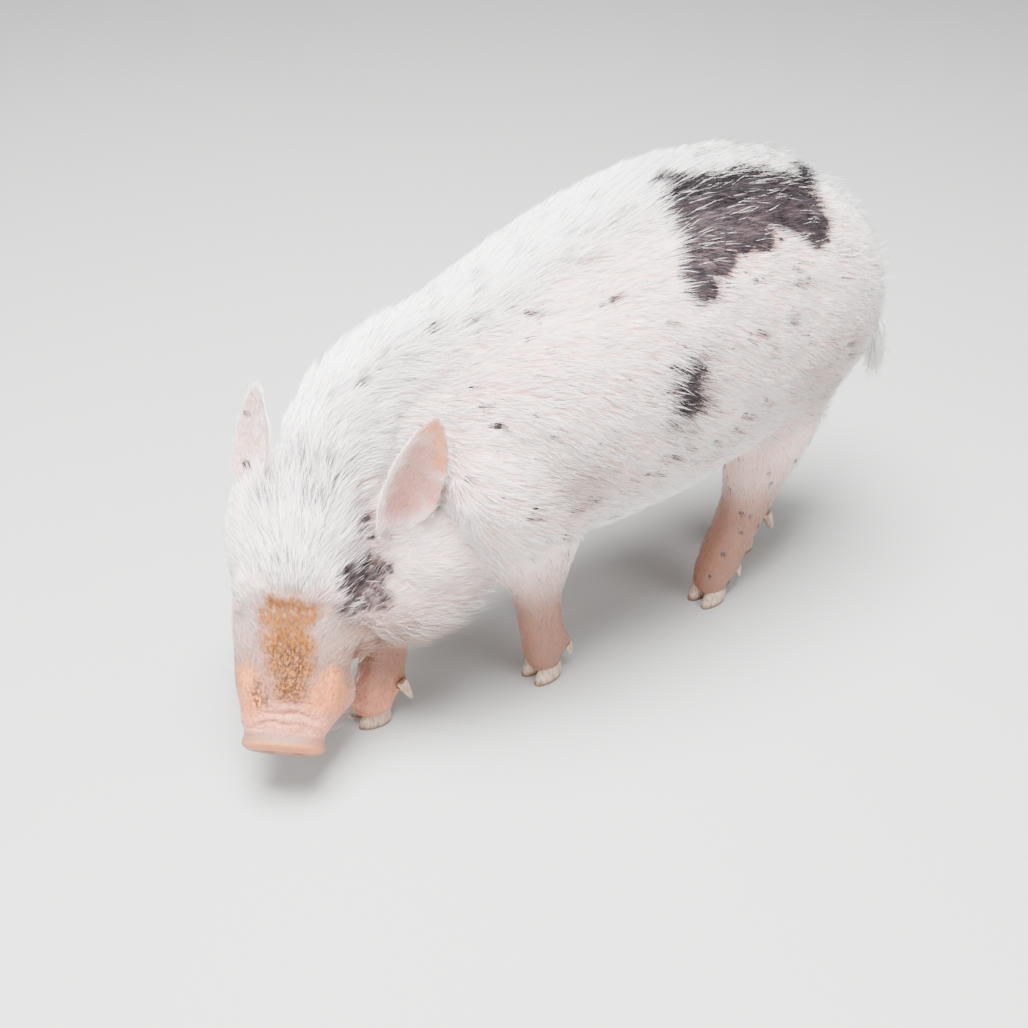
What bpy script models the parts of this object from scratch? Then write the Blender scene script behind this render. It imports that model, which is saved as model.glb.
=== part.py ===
"""A young pot-bellied pig, life size, walking with its head down to the ground and turned to its left.

Metres, +Z up, the pig faces -Y and its left side is +X. The flesh is lofted along the spine, the head and
each leg, fused into one skin and then parted by thin cuts into the pieces that have names. Hooves,
dewclaws, ears and eyes are separate solids, set on the skin with a fine gap.
"""
import math
import random

import bmesh
import bpy
import numpy as np
from mathutils import Matrix, Vector
from mathutils.bvhtree import BVHTree

# Driving sizes of the animal
GAP = 0.0003             # clear space between two named pieces that touch
EAR_GAP = 0.0006         # and round the ears' roots, among the locks
BODY_X = -0.012          # the spine lies this far to the right of the middle of the four feet
BODY_HALF_WIDTH = 0.088  # at the belly
RUMP_Y = 0.211           # the buttock's end
HEAD_LENGTH = 0.172      # snout disc to poll
HEAD_YAW = math.radians(46.5)
HEAD_PITCH = math.radians(55)
HEAD_ROLL = math.radians(10)
SNOUT_TIP = Vector((0.010, -0.260, 0.0485))
EYE_RADIUS = 0.0085
EAR_WIDTH = 0.038
HOOF_LENGTH = 0.024
HOOF_WIDTH = 0.0118
HOOF_HEIGHT = 0.0135
BODY_VOXEL = 0.0028
HEAD_VOXEL = 0.0014
TAIL_VOXEL = 0.0011
BODY_TRIANGLES = 5080
HEAD_TRIANGLES = 3340
TAIL_TRIANGLES = 240

SKIN = ("pink_skin", (0.80, 0.60, 0.54, 1), 0.55)
HORN = ("hoof_horn", (0.55, 0.42, 0.34, 1), 0.40)
EYE = ("dark_eye", (0.02, 0.015, 0.012, 1), 0.08)


def material(name, colour, roughness):
    made = bpy.data.materials.get(name) or bpy.data.materials.new(name)
    made.use_nodes = True
    shader = made.node_tree.nodes["Principled BSDF"]
    shader.inputs["Base Color"].default_value = colour
    shader.inputs["Roughness"].default_value = roughness
    return made


def collection_named(name):
    made = bpy.data.collections.new(name)
    bpy.context.scene.collection.children.link(made)
    return made


def settle(shape):
    """Turn an object's modifiers into its mesh."""
    graph = bpy.context.evaluated_depsgraph_get()
    graph.update()
    old = shape.data
    shape.data = bpy.data.meshes.new_from_object(shape.evaluated_get(graph))
    shape.modifiers.clear()
    bpy.data.meshes.remove(old)


def add_object(name, shape, where=None):
    """A new object from a bmesh, with its faces turned outwards."""
    bmesh.ops.recalc_face_normals(shape, faces=shape.faces)
    mesh = bpy.data.meshes.new(name)
    shape.to_mesh(mesh)
    shape.free()
    made = bpy.data.objects.new(name, mesh)
    (where or cutters).objects.link(made)
    return made


def spline_rows(keys, count):
    """Catmull-Rom rows through the key rows, count of them, spread evenly between the keys."""
    keys = np.asarray(keys, float)
    padded = np.vstack([2 * keys[0] - keys[1], keys, 2 * keys[-1] - keys[-2]])
    places = np.linspace(0, len(keys) - 1, count)
    spans = np.minimum(places.astype(int), len(keys) - 2)
    t = (places - spans)[:, None]
    a, b, c, d = (padded[spans + i] for i in range(4))
    return 0.5 * (2 * b + (c - a) * t + (2 * a - 5 * b + 4 * c - d) * t**2 + (3 * b - a - 3 * c + d) * t**3)


def loft(name, rings, where=None):
    """A closed skin over rings of points, each an array of the same number of points."""
    shape = bmesh.new()
    loops = [[shape.verts.new(point) for point in ring] for ring in rings]
    for lower, upper in zip(loops, loops[1:]):
        for i in range(len(lower)):
            j = (i + 1) % len(lower)
            shape.faces.new((lower[i], lower[j], upper[j], upper[i]))
    shape.faces.new(loops[0][::-1])
    shape.faces.new(loops[-1])
    return add_object(name, shape, where)


def section(centre, side, up, half_width, rise, drop, squareness=2.15, sides=32):
    """One ring: a rounded outline with its own height above and below the centre line."""
    turn = np.linspace(0, 2 * math.pi, sides, endpoint=False)
    power = 2 / squareness
    across = np.sign(np.cos(turn)) * np.abs(np.cos(turn)) ** power * half_width
    tall = np.sign(np.sin(turn)) * np.abs(np.sin(turn)) ** power
    tall = np.where(tall > 0, tall * rise, tall * drop)
    return np.asarray(centre) + across[:, None] * np.asarray(side) + tall[:, None] * np.asarray(up)


def tube(name, keys, count, sides=20, forward=(0, -1, 0)):
    """A bent limb. Rows are x, y, z, half width across, half width fore and aft."""
    rows = spline_rows(keys, count)
    ahead = Vector(forward)
    rings = []
    for i, row in enumerate(rows):
        run = Vector(rows[min(i + 1, count - 1)][:3] - rows[max(i - 1, 0)][:3]).normalized()
        across = run.cross(ahead).normalized()
        fore = across.cross(run).normalized()
        rings.append(section(row[:3], across, fore, row[3], row[4], row[4], 2.1, sides))
    return loft(name, rings)


def blob(name, centre, radii, turn=None, detail=12):
    """An ellipsoid, whose radii lie along the columns of turn."""
    shape = bmesh.new()
    bmesh.ops.create_uvsphere(shape, u_segments=2 * detail, v_segments=detail, radius=1)
    place = Matrix.Translation(centre) @ (turn or Matrix.Identity(3)).to_4x4() @ Matrix.Diagonal((*radii, 1))
    bmesh.ops.transform(shape, matrix=place, verts=shape.verts)
    return add_object(name, shape)


def hull(name, corners):
    """The convex solid over a few corners."""
    shape = bmesh.new()
    for corner in corners:
        shape.verts.new(corner)
    bmesh.ops.convex_hull(shape, input=shape.verts)
    return add_object(name, shape)


def combine(shape, other, operation):
    """A Boolean on one object or on a collection, settled at once."""
    modifier = shape.modifiers.new(operation, "BOOLEAN")
    modifier.operation = operation
    modifier.solver = "MANIFOLD"
    if isinstance(other, bpy.types.Collection):
        modifier.operand_type = "COLLECTION"
        modifier.collection = other
    else:
        modifier.object = other
    settle(shape)


def copy_of(shape, name, where=None):
    made = bpy.data.objects.new(name, shape.data.copy())
    (where or cutters).objects.link(made)
    return made


def keep_largest(shape):
    """Drop every loose scrap and sealed pocket, and keep the widest closed surface."""
    mesh = bmesh.new()
    mesh.from_mesh(shape.data)
    left = set(mesh.verts)
    groups = []
    while left:
        group = {left.pop()}
        front = list(group)
        while front:
            near = {edge.other_vert(vert) for vert in front for edge in vert.link_edges} - group
            group |= near
            front = list(near)
        left -= group
        groups.append(group)

    def reach(group):
        return sum(face.calc_area() for vert in group for face in vert.link_faces)

    widest = max(groups, key=reach)
    scraps = [vert for group in groups if group is not widest for vert in group]
    bmesh.ops.delete(mesh, geom=scraps, context="VERTS")
    mesh.to_mesh(shape.data)
    mesh.free()


def swollen(shape, name, by=GAP):
    """A copy whose skin stands out by this much, to cut its neighbour clear of it."""
    made = copy_of(shape, name)
    mesh = made.data
    places = np.empty(len(mesh.vertices) * 3)
    normals = np.empty(len(mesh.vertices) * 3)
    mesh.vertices.foreach_get("co", places)
    mesh.vertices.foreach_get("normal", normals)
    mesh.vertices.foreach_set("co", places + by * normals)
    mesh.update()
    return made


def thin_out(shape, triangles):
    shape.modifiers.new("split", "TRIANGULATE")
    settle(shape)
    count = len(shape.data.polygons)
    modifier = shape.modifiers.new("thin_out", "DECIMATE")
    modifier.ratio = min(1, triangles / count)
    modifier.use_collapse_triangulate = True
    settle(shape)


def fuse(name, cores, voxel, softness):
    """One skin over overlapping cores, its hollows and ridges eased over about softness metres."""
    shape = bmesh.new()
    for core in cores:
        shape.from_mesh(core.data)
    fused = add_object(name, shape)
    remesh = fused.modifiers.new("fuse", "REMESH")
    remesh.mode = "VOXEL"
    remesh.voxel_size = voxel
    ease = fused.modifiers.new("ease", "SMOOTH")
    ease.factor = 0.5
    ease.iterations = max(1, round((softness / voxel) ** 2))
    settle(fused)
    return fused


# Torso: rows are y, x, height of the centre line, half width, rise to the back, drop to the belly
TORSO = [
    (RUMP_Y + 0.004, BODY_X, 0.228, 0.012, 0.014, 0.016),
    (RUMP_Y - 0.008, BODY_X, 0.233, 0.046, 0.046, 0.054),
    (RUMP_Y - 0.032, BODY_X, 0.237, 0.066, 0.070, 0.074),
    (RUMP_Y - 0.072, BODY_X, 0.240, 0.077, 0.090, 0.086),
    (RUMP_Y - 0.120, BODY_X, 0.240, 0.083, 0.104, 0.099),
    (RUMP_Y - 0.175, BODY_X, 0.238, BODY_HALF_WIDTH, 0.109, 0.110),
    (RUMP_Y - 0.230, BODY_X - 0.001, 0.235, BODY_HALF_WIDTH, 0.101, 0.112),
    (RUMP_Y - 0.280, BODY_X - 0.003, 0.231, 0.083, 0.085, 0.106),
    (RUMP_Y - 0.325, BODY_X - 0.008, 0.224, 0.067, 0.068, 0.090),
    (RUMP_Y - 0.358, BODY_X - 0.014, 0.212, 0.043, 0.038, 0.070),
    (RUMP_Y - 0.374, BODY_X - 0.016, 0.206, 0.016, 0.016, 0.030),
]


def build_torso():
    rings = []
    for y, x, z, half_width, rise, drop in spline_rows(TORSO, 40):
        rings.append(section((x, y, z), (1, 0, 0), (0, 0, 1), half_width, rise, drop, 2.15, 40))
    return loft("torso_core", rings)


def head_frame():
    """The head's own axes: back along the head from the snout, its left, and its crown side."""
    level = math.cos(HEAD_PITCH)
    backward = Vector((-math.sin(HEAD_YAW) * level, math.cos(HEAD_YAW) * level, math.sin(HEAD_PITCH)))
    left = Vector((math.cos(HEAD_YAW), math.sin(HEAD_YAW), 0))
    left = Matrix.Rotation(HEAD_ROLL, 3, backward) @ left
    return backward, left, left.cross(backward)


BACKWARD, LEFTWARD, CROWNWARD = head_frame()
HEAD_TURN = Matrix((BACKWARD, LEFTWARD, CROWNWARD)).transposed()


def in_head(back, left, crown):
    return SNOUT_TIP + HEAD_TURN @ Vector((back, left, crown))


# Head: rows are distance behind the snout, half width, rise, drop
HEAD = [
    (-0.0075, 0.0218, 0.0148, 0.0148),
    (-0.0045, 0.0256, 0.0180, 0.0176),
    (0.0015, 0.0252, 0.0175, 0.0176),
    (0.0085, 0.0240, 0.0160, 0.0180),
    (0.021, 0.0290, 0.0176, 0.0240),
    (0.037, 0.0330, 0.0196, 0.0300),
    (0.057, 0.0350, 0.0222, 0.0350),
    (0.077, 0.0388, 0.0285, 0.0395),
    (0.096, 0.0425, 0.0360, 0.0430),
    (0.118, 0.0460, 0.0430, 0.0455),
    (0.142, 0.0475, 0.0460, 0.0465),
    (0.162, 0.0430, 0.0420, 0.0440),
    (HEAD_LENGTH + 0.006, 0.0300, 0.0290, 0.0300),
]
DISC_TILT = -0.22   # the lower rim of the disc leans forward
DISC_DEPTH = 0.012


def build_head():
    rings = []
    for back, half_width, rise, drop in spline_rows(HEAD, 60):
        ring = section(in_head(back, 0, 0), LEFTWARD, CROWNWARD, half_width, rise, drop, 2.25, 40)
        lean = DISC_TILT * max(0, 1 - back / DISC_DEPTH)
        crown = (ring - np.asarray(in_head(back, 0, 0))) @ np.asarray(CROWNWARD)
        rings.append(ring - lean * crown[:, None] * np.asarray(BACKWARD))
    return loft("head_core", rings)


POLL = in_head(0.136, 0, -0.004)
WITHERS = Vector((BODY_X - 0.004, -0.080, 0.222))
MID_NECK = WITHERS.lerp(POLL, 0.5) + Vector((-0.008, -0.001, 0.008))
NAPE_RISE = 0.072
NECK_SIDE = Vector((-0.008, -0.134, 0.150))
NECK_SIDE_RADII = (0.046, 0.052, 0.050)


def build_neck():
    keys = [(*WITHERS, 0.072, 0.080), (*MID_NECK, 0.047, 0.064), (*POLL, 0.037, 0.040)]
    return tube("neck_core", keys, 16, 32, (0, -0.3, 1))


def build_brisket():
    """The loose throat and the brisket, from behind the jowls to between the forelegs."""
    keys = [(*in_head(0.103, 0.026, -0.034), 0.033, 0.033), (-0.008, -0.158, 0.124, 0.038, 0.037),
            (-0.012, -0.108, 0.147, 0.048, 0.040), (-0.010, -0.075, 0.160, 0.050, 0.042)]
    return tube("brisket_core", keys, 16, 28, (0, -0.3, 1))


def build_jowl():
    """The left jowl, pressed out where the neck bends."""
    return blob("jowl_core", in_head(0.088, 0.036, -0.022), (0.034, 0.025, 0.026), HEAD_TURN)


def build_neck_side():
    """The full left side of the neck, from the jowl back to the shoulder."""
    return blob("neck_side_core", NECK_SIDE, NECK_SIDE_RADII)


# Legs: each row is x, y, z, half width across, half width fore and aft, from the body down to the ankle
FEET = {
    "front_left": (Vector((0.0105, -0.0600, 0)), math.radians(8)),
    "front_right": (Vector((-0.0200, -0.1820, 0)), math.radians(-6)),
    "hind_left": (Vector((0.0140, 0.0930, 0)), math.radians(8)),
    "hind_right": (Vector((-0.0210, 0.1540, 0)), math.radians(-6)),
}
LEGS = {
    "front_left": [(0.018, -0.106, 0.245, 0.020, 0.034), (0.032, -0.100, 0.208, 0.030, 0.050),
                   (0.037, -0.093, 0.165, 0.028, 0.038), (0.030, -0.084, 0.125, 0.0215, 0.0240),
                   (0.022, -0.0755, 0.090, 0.0168, 0.0178), (0.0155, -0.0675, 0.060, 0.0158, 0.0168),
                   (0.0115, -0.0610, 0.036, 0.0155, 0.0172), (0.0105, -0.0605, 0.016, 0.0135, 0.0135),
                   (0.0105, -0.0615, 0.008, 0.0100, 0.0100)],
    "front_right": [(-0.044, -0.108, 0.245, 0.020, 0.034), (-0.060, -0.106, 0.208, 0.030, 0.050),
                    (-0.063, -0.116, 0.165, 0.028, 0.038), (-0.051, -0.132, 0.125, 0.0220, 0.0255),
                    (-0.038, -0.147, 0.090, 0.0175, 0.0185), (-0.027, -0.163, 0.060, 0.0160, 0.0170),
                    (-0.0205, -0.1745, 0.036, 0.0155, 0.0180), (-0.020, -0.1820, 0.016, 0.0135, 0.0135),
                    (-0.020, -0.1840, 0.008, 0.0100, 0.0100)],
    "hind_left": [(0.012, 0.138, 0.268, 0.024, 0.036), (0.022, 0.134, 0.228, 0.031, 0.052),
                  (0.029, 0.123, 0.175, 0.026, 0.043), (0.030, 0.112, 0.135, 0.0225, 0.033),
                  (0.026, 0.110, 0.102, 0.0172, 0.0240), (0.0205, 0.107, 0.072, 0.0160, 0.0205),
                  (0.0155, 0.1000, 0.040, 0.0158, 0.0190), (0.0140, 0.0935, 0.016, 0.0135, 0.0140),
                  (0.0140, 0.0915, 0.008, 0.0100, 0.0100)],
    "hind_right": [(-0.036, 0.140, 0.268, 0.024, 0.036), (-0.048, 0.142, 0.228, 0.033, 0.050),
                   (-0.056, 0.146, 0.175, 0.029, 0.043), (-0.052, 0.158, 0.135, 0.0225, 0.033),
                   (-0.043, 0.171, 0.102, 0.0172, 0.0220), (-0.033, 0.174, 0.072, 0.0155, 0.0185),
                   (-0.0235, 0.164, 0.040, 0.0155, 0.0180), (-0.021, 0.1550, 0.016, 0.0135, 0.0135),
                   (-0.021, 0.1525, 0.008, 0.0100, 0.0100)],
}
DEWCLAW_HEIGHT = 0.033
DEWCLAW_BACK = 0.0165
DEWCLAW_SPREAD = 0.0085


def foot_axes(name):
    """The foot's middle on the floor, its forward direction and its left."""
    place, toe_out = FEET[name]
    turn = Matrix.Rotation(toe_out, 3, "Z")
    return place, turn @ Vector((0, -1, 0)), turn @ Vector((1, 0, 0))


def ankle_back(name):
    """How far the dewclaws' height on the leg lies behind the foot's middle."""
    place, forward, _ = foot_axes(name)
    rows = np.asarray(LEGS[name])
    x, y = (np.interp(DEWCLAW_HEIGHT, rows[::-1, 2], rows[::-1, i]) for i in (0, 1))
    return -(Vector((x, y, 0)) - place).dot(forward)


def dewclaw_root(name, side):
    place, forward, left = foot_axes(name)
    back = ankle_back(name) + DEWCLAW_BACK - 0.004
    return place - forward * back + left * (side * DEWCLAW_SPREAD) + Vector((0, 0, DEWCLAW_HEIGHT))


def build_leg_cores():
    cores = []
    for name, keys in LEGS.items():
        cores.append(tube("leg_core_" + name, keys, 28, 24))
        for side in (-1, 1):
            cores.append(blob("heel_core", dewclaw_root(name, side), (0.0065, 0.0075, 0.0085)))
    return cores


# Tail: rows as for the legs, from the croup down to the last flesh
TAIL = [(BODY_X, RUMP_Y - 0.022, 0.252, 0.010, 0.010),
        (BODY_X + 0.003, RUMP_Y + 0.004, 0.243, 0.0082, 0.0082),
        (BODY_X + 0.009, RUMP_Y + 0.021, 0.224, 0.0062, 0.0062),
        (BODY_X + 0.014, RUMP_Y + 0.030, 0.202, 0.0050, 0.0050),
        (BODY_X + 0.016, RUMP_Y + 0.033, 0.182, 0.0042, 0.0042)]
TAIL_SWITCH = [(BODY_X + 0.016, RUMP_Y + 0.033, 0.186, 0.0042, 0.0042),
               (BODY_X + 0.016, RUMP_Y + 0.034, 0.174, 0.0040, 0.0040),
               (BODY_X + 0.017, RUMP_Y + 0.034, 0.166, 0.0032, 0.0032),
               (BODY_X + 0.017, RUMP_Y + 0.034, 0.158, 0.0018, 0.0018)]

# Crest of bristles along the nape and back: locks over a low core
CREST_HEIGHT = 0.0075       # out to the tips on the back
NAPE_HEIGHT = 0.0105        # and on the nape, where the bristles stand more upright
CREST_CORE_HEIGHT = 0.0030
CREST_HALF_WIDTH = 0.024
CREST_DEPTH = 0.045
CREST_ROWS = 30
LOCK_ROWS = 24
LOCK_LENGTH = 0.034
LOCK_WIDTH = 0.0135
LOCK_THICKNESS = 0.0028
LOCK_SINK = 0.0060          # how deep a root lies under the skin
LOCK_SPACING = 0.0165       # from lock to lock across the crest
SWITCH_LOCKS = 7


def back_line(y):
    """The top of the back's skin at this y."""
    rows = np.asarray(TORSO)[::-1]
    x, z, rise = (np.interp(y, rows[:, 0], rows[:, i]) for i in (1, 2, 4))
    return Vector((x, y, z + rise))


def crest_rows(count):
    """Places along the ridge from the poll to the loin, each with its run, its side and its up."""
    nape = MID_NECK + Vector((-0.002, -0.42, 0.90)) * NAPE_RISE
    places = [in_head(0.122, 0, 0.040), in_head(0.146, 0, 0.043), nape]
    places += [back_line(y) for y in (-0.090, -0.040, 0.020, 0.080, 0.120)]
    fine = spline_rows([tuple(place) for place in places], 8 * count)
    travel = np.concatenate([[0], np.cumsum(np.linalg.norm(np.diff(fine, axis=0), axis=1))])
    even = np.linspace(0, travel[-1], count)
    line = np.stack([np.interp(even, travel, fine[:, axis]) for axis in range(3)], axis=1)
    rows = []
    for i, place in enumerate(line):
        run = Vector(line[min(i + 1, count - 1)] - line[max(i - 1, 0)]).normalized()
        side = run.cross(Vector((0, 0, 1))).normalized()
        rows.append((Vector(place), run, side, side.cross(run)))
    return rows


def build_crest():
    """The low core under the locks of the crest."""
    rings = []
    for i, (place, _, side, up) in enumerate(crest_rows(CREST_ROWS)):
        taper = math.sin(math.pi * (0.06 + 0.88 * i / (CREST_ROWS - 1))) ** 0.5
        rise = CREST_CORE_HEIGHT * taper
        rings.append(section(place, side, up, CREST_HALF_WIDTH, rise, CREST_DEPTH, 1.7, 16))
    return loft("crest_core", rings)


# A lock's own line: along its length, height as a share of its lift, then width and thickness as shares of
# the full ones
LOCK_LINE = [(0.02, None, 0.80, 1.0), (0.30, 0.34, 1.0, 1.0), (0.66, 0.80, 0.78, 0.80),
             (1.0, 1.0, 0.14, 0.22)]


def build_lock(root, lie, up, sizes, where):
    """One flat, tapered lock of bristles: its root is sunk in the skin, and it bends over to lie down."""
    length, width, thickness, lift = sizes
    side = lie.cross(up).normalized()
    line = [root + lie * (along * length) + up * (-LOCK_SINK if high is None else high * lift)
            for along, high, _, _ in LOCK_LINE]
    rings = []
    for i, (_, _, wide, thick) in enumerate(LOCK_LINE):
        run = (line[min(i + 1, len(line) - 1)] - line[max(i - 1, 0)]).normalized()
        out = side.cross(run).normalized()
        across, tall = side * (wide * width / 2), out * (thick * thickness / 2)
        rings.append(np.array([tuple(line[i] + step) for step in (across, tall, -across, -tall)]))
    return loft("lock", rings, where)


def skin_tree(shape):
    mesh = shape.data
    return BVHTree.FromPolygons([v.co for v in mesh.vertices], [f.vertices for f in mesh.polygons])


def build_crest_locks(flesh, where):
    """Rows of locks from the poll to the loin, three and two by turns, set on the skin under them."""
    tree = skin_tree(flesh)
    draw = random.Random(11)
    for i, (place, run, side, up) in enumerate(crest_rows(LOCK_ROWS)):
        on_nape = max(0.0, 1 - abs(i / (LOCK_ROWS - 1) - 0.25) / 0.25)
        height = CREST_HEIGHT + (NAPE_HEIGHT - CREST_HEIGHT) * on_nape
        end = min(1.0, (LOCK_ROWS - i) / 5, (i + 2) / 5)
        for step in ((-1, 0, 1) if i % 2 else (-0.5, 0.5)):
            off = side * ((step + draw.uniform(-0.12, 0.12)) * LOCK_SPACING)
            hit, normal = tree.ray_cast(place + off + up * 0.04, -up)[:2]
            lie = (Matrix.Rotation(draw.uniform(-0.2, 0.2) + 0.22 * step, 3, normal) @ run)
            lie = (lie - normal * lie.dot(normal)).normalized()
            sizes = (LOCK_LENGTH * draw.uniform(0.85, 1.15), LOCK_WIDTH * draw.uniform(0.9, 1.15),
                     LOCK_THICKNESS, height * end * (1 - 0.30 * abs(step)) * draw.uniform(0.75, 1.1))
            build_lock(hit, lie, normal, sizes, where)


def build_switch_locks(where):
    """The tuft at the end of the tail: locks that hang down round its last flesh."""
    draw = random.Random(5)
    rows = spline_rows(TAIL_SWITCH, 9)
    for i in range(SWITCH_LOCKS):
        turn = Matrix.Rotation(2 * math.pi * (i + draw.uniform(-0.2, 0.2)) / SWITCH_LOCKS, 3, "Z")
        out = turn @ Vector((0, 1, 0))
        start = 2 * (i % 3)
        root = Vector(rows[start][:3]) + out * (0.8 * rows[start][3])
        sizes = (0.020 * draw.uniform(0.9, 1.1), 0.0062, 0.0024, 0.0030)
        build_lock(root, Vector((0, 0, -1)), out, sizes, where)


def vertex_arrays(mesh):
    places = np.empty(len(mesh.vertices) * 3)
    normals = np.empty(len(mesh.vertices) * 3)
    mesh.vertices.foreach_get("co", places)
    mesh.vertices.foreach_get("normal", normals)
    return places.reshape(-1, 3), normals.reshape(-1, 3)


# Forms of the face: place in the head's frame (back, left, crown), reach, and swell. Side ones come in pairs.
# Odd ones are the lips pushed out on the left, the mound under the left ear's front and the temple that the
# turned neck draws in on the right.
MIDDLE_FORMS = [
    ((0.064, 0, 0.026), (0.018, 0.016, 0.012), -0.0022),
    ((0.118, 0, 0.048), (0.022, 0.020, 0.016), 0.0020),
]
SIDE_FORMS = [
    ((0.104, 0.043, -0.026), (0.028, 0.026, 0.026), 0.0065),
    ((0.099, 0.026, 0.032), (0.013, 0.010, 0.012), 0.0042),
    ((0.075, 0.031, 0.016), (0.010, 0.009, 0.010), -0.0030),
    ((0.050, 0.022, 0.014), (0.020, 0.008, 0.009), -0.0022),
    ((0.030, 0.028, -0.013), (0.015, 0.012, 0.010), 0.0045),
    ((0.062, 0.037, -0.006), (0.020, 0.012, 0.014), 0.0022),
]
ODD_FORMS = [
    ((0.030, 0.031, -0.014), (0.016, 0.012, 0.013), 0.0080),
    ((0.148, 0.044, 0.024), (0.016, 0.014, 0.015), 0.0065),
    ((0.096, -0.044, 0.002), (0.018, 0.012, 0.022), -0.0042),
]
WRINKLES = (0.0135, 0.0185, 0.0245)
MOUTH_START = (0.010, -0.0135)
MOUTH_END = (0.064, -0.0185)


def sculpt_face(head):
    """Cheeks, brows, sockets, lips, nose wrinkles and the mouth line, raised or sunk in the skin."""
    places, normals = vertex_arrays(head.data)
    own = (places - np.asarray(SNOUT_TIP)) @ np.asarray(HEAD_TURN)
    swell = np.zeros(len(own))
    other_side = [((back, -left, crown), reach, by) for (back, left, crown), reach, by in SIDE_FORMS]
    for centre, reach, by in MIDDLE_FORMS + ODD_FORMS + SIDE_FORMS + other_side:
        swell += by * np.exp(-(((own - centre) / reach) ** 2).sum(axis=1))
    back, left, crown = own.T
    on_nose = np.clip((crown - 0.004) / 0.008, 0, 1)
    for place in WRINKLES:
        bend = place + 0.0025 * np.cos(left / 0.024 * math.pi)
        swell -= 0.0011 * on_nose * np.exp(-(((back - bend) / 0.0012) ** 2)) * np.exp(-((left / 0.019) ** 4))
    along = np.clip((back - MOUTH_START[0]) / (MOUTH_END[0] - MOUTH_START[0]), 0, 1)
    line = MOUTH_START[1] + (MOUTH_END[1] - MOUTH_START[1]) * along - 0.004 * np.sin(math.pi * along)
    off = np.hypot(crown - line, np.maximum(back - MOUTH_END[0], 0) + np.maximum(MOUTH_START[0] - back, 0))
    swell += 0.0012 * np.exp(-(((off - 0.0042) / 0.0022) ** 2)) - 0.0024 * np.exp(-((off / 0.0013) ** 2))
    head.data.vertices.foreach_set("co", (places + normals * swell[:, None]).ravel())
    head.data.update()


EYE_AT = (0.0895, 0.0345, 0.0165)        # where the lids meet, before it is set on the skin
EYE_LOOK = Vector((-0.12, 0.93, 0.36))  # outward from the eye, in the head's frame
LID = 0.0013
SLIT_LENGTH = 0.0125
SLIT_HEIGHT = 0.0060


def eye_seat(head, side):
    """Centre of the eyeball and the turn of its lids: the slit runs along x, and z looks out."""
    tree = skin_tree(head)
    look = (HEAD_TURN @ Vector((EYE_LOOK.x, side * EYE_LOOK.y, EYE_LOOK.z))).normalized()
    aim = in_head(EYE_AT[0], side * EYE_AT[1], EYE_AT[2])
    hit = tree.ray_cast(aim + look * 0.05, -look)[0]
    slit = (BACKWARD - look * BACKWARD.dot(look)).normalized()
    turn = Matrix((slit, look.cross(slit), look)).transposed()
    return hit - look * (EYE_RADIUS + LID), turn


def lid_opening(centre, turn):
    """An almond-shaped plug through both lids."""
    rings = []
    for out in (0.30 * EYE_RADIUS, 2.2 * EYE_RADIUS):
        half = []
        for step in np.linspace(0, 2 * math.pi, 16, endpoint=False):
            across = math.cos(step) * SLIT_LENGTH / 2
            tall = math.sin(step) * (1 - 0.55 * abs(math.cos(step)) ** 2) * SLIT_HEIGHT / 2
            half.append(centre + turn @ Vector((across, tall, out)))
        rings.append(np.array([tuple(point) for point in half]))
    return loft("lid_opening", rings)


NOSTRIL_AT = (-0.0070, 0.0088, 0.0003)
NOSTRIL = (0.0075, 0.0036, 0.0052)


def cut_face_openings(head, seats):
    for side in (-1, 1):
        place = in_head(NOSTRIL_AT[0], side * NOSTRIL_AT[1], NOSTRIL_AT[2])
        tilt = Matrix.Rotation(side * math.radians(18), 3, BACKWARD)
        combine(head, blob("nostril", place, NOSTRIL, tilt @ HEAD_TURN, 8), "DIFFERENCE")
    for centre, turn in seats:
        combine(head, blob("socket", centre, [EYE_RADIUS + GAP] * 3, turn, 9), "DIFFERENCE")
        combine(head, lid_opening(centre, turn), "DIFFERENCE")


# Ears: root and tip of the cup's floor in the head's frame, the way the cup opens, and the side of its front
# wall
EARS = {
    "left": ((0.142, 0.057, 0.034), (0.2085, 0.0768, 0.088), Vector((-0.30, 0.15, 0.92)), -1),
    "right": ((0.148, -0.027, 0.024), (0.2172, -0.0290, 0.056), Vector((-0.15, -0.68, 0.72)), 1),
}
EAR_BOW = 0.005          # the ear's blade bends back by this much half way up
EAR_ROOT_WALL = 0.0030
EAR_TIP_WALL = 0.0014


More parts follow.
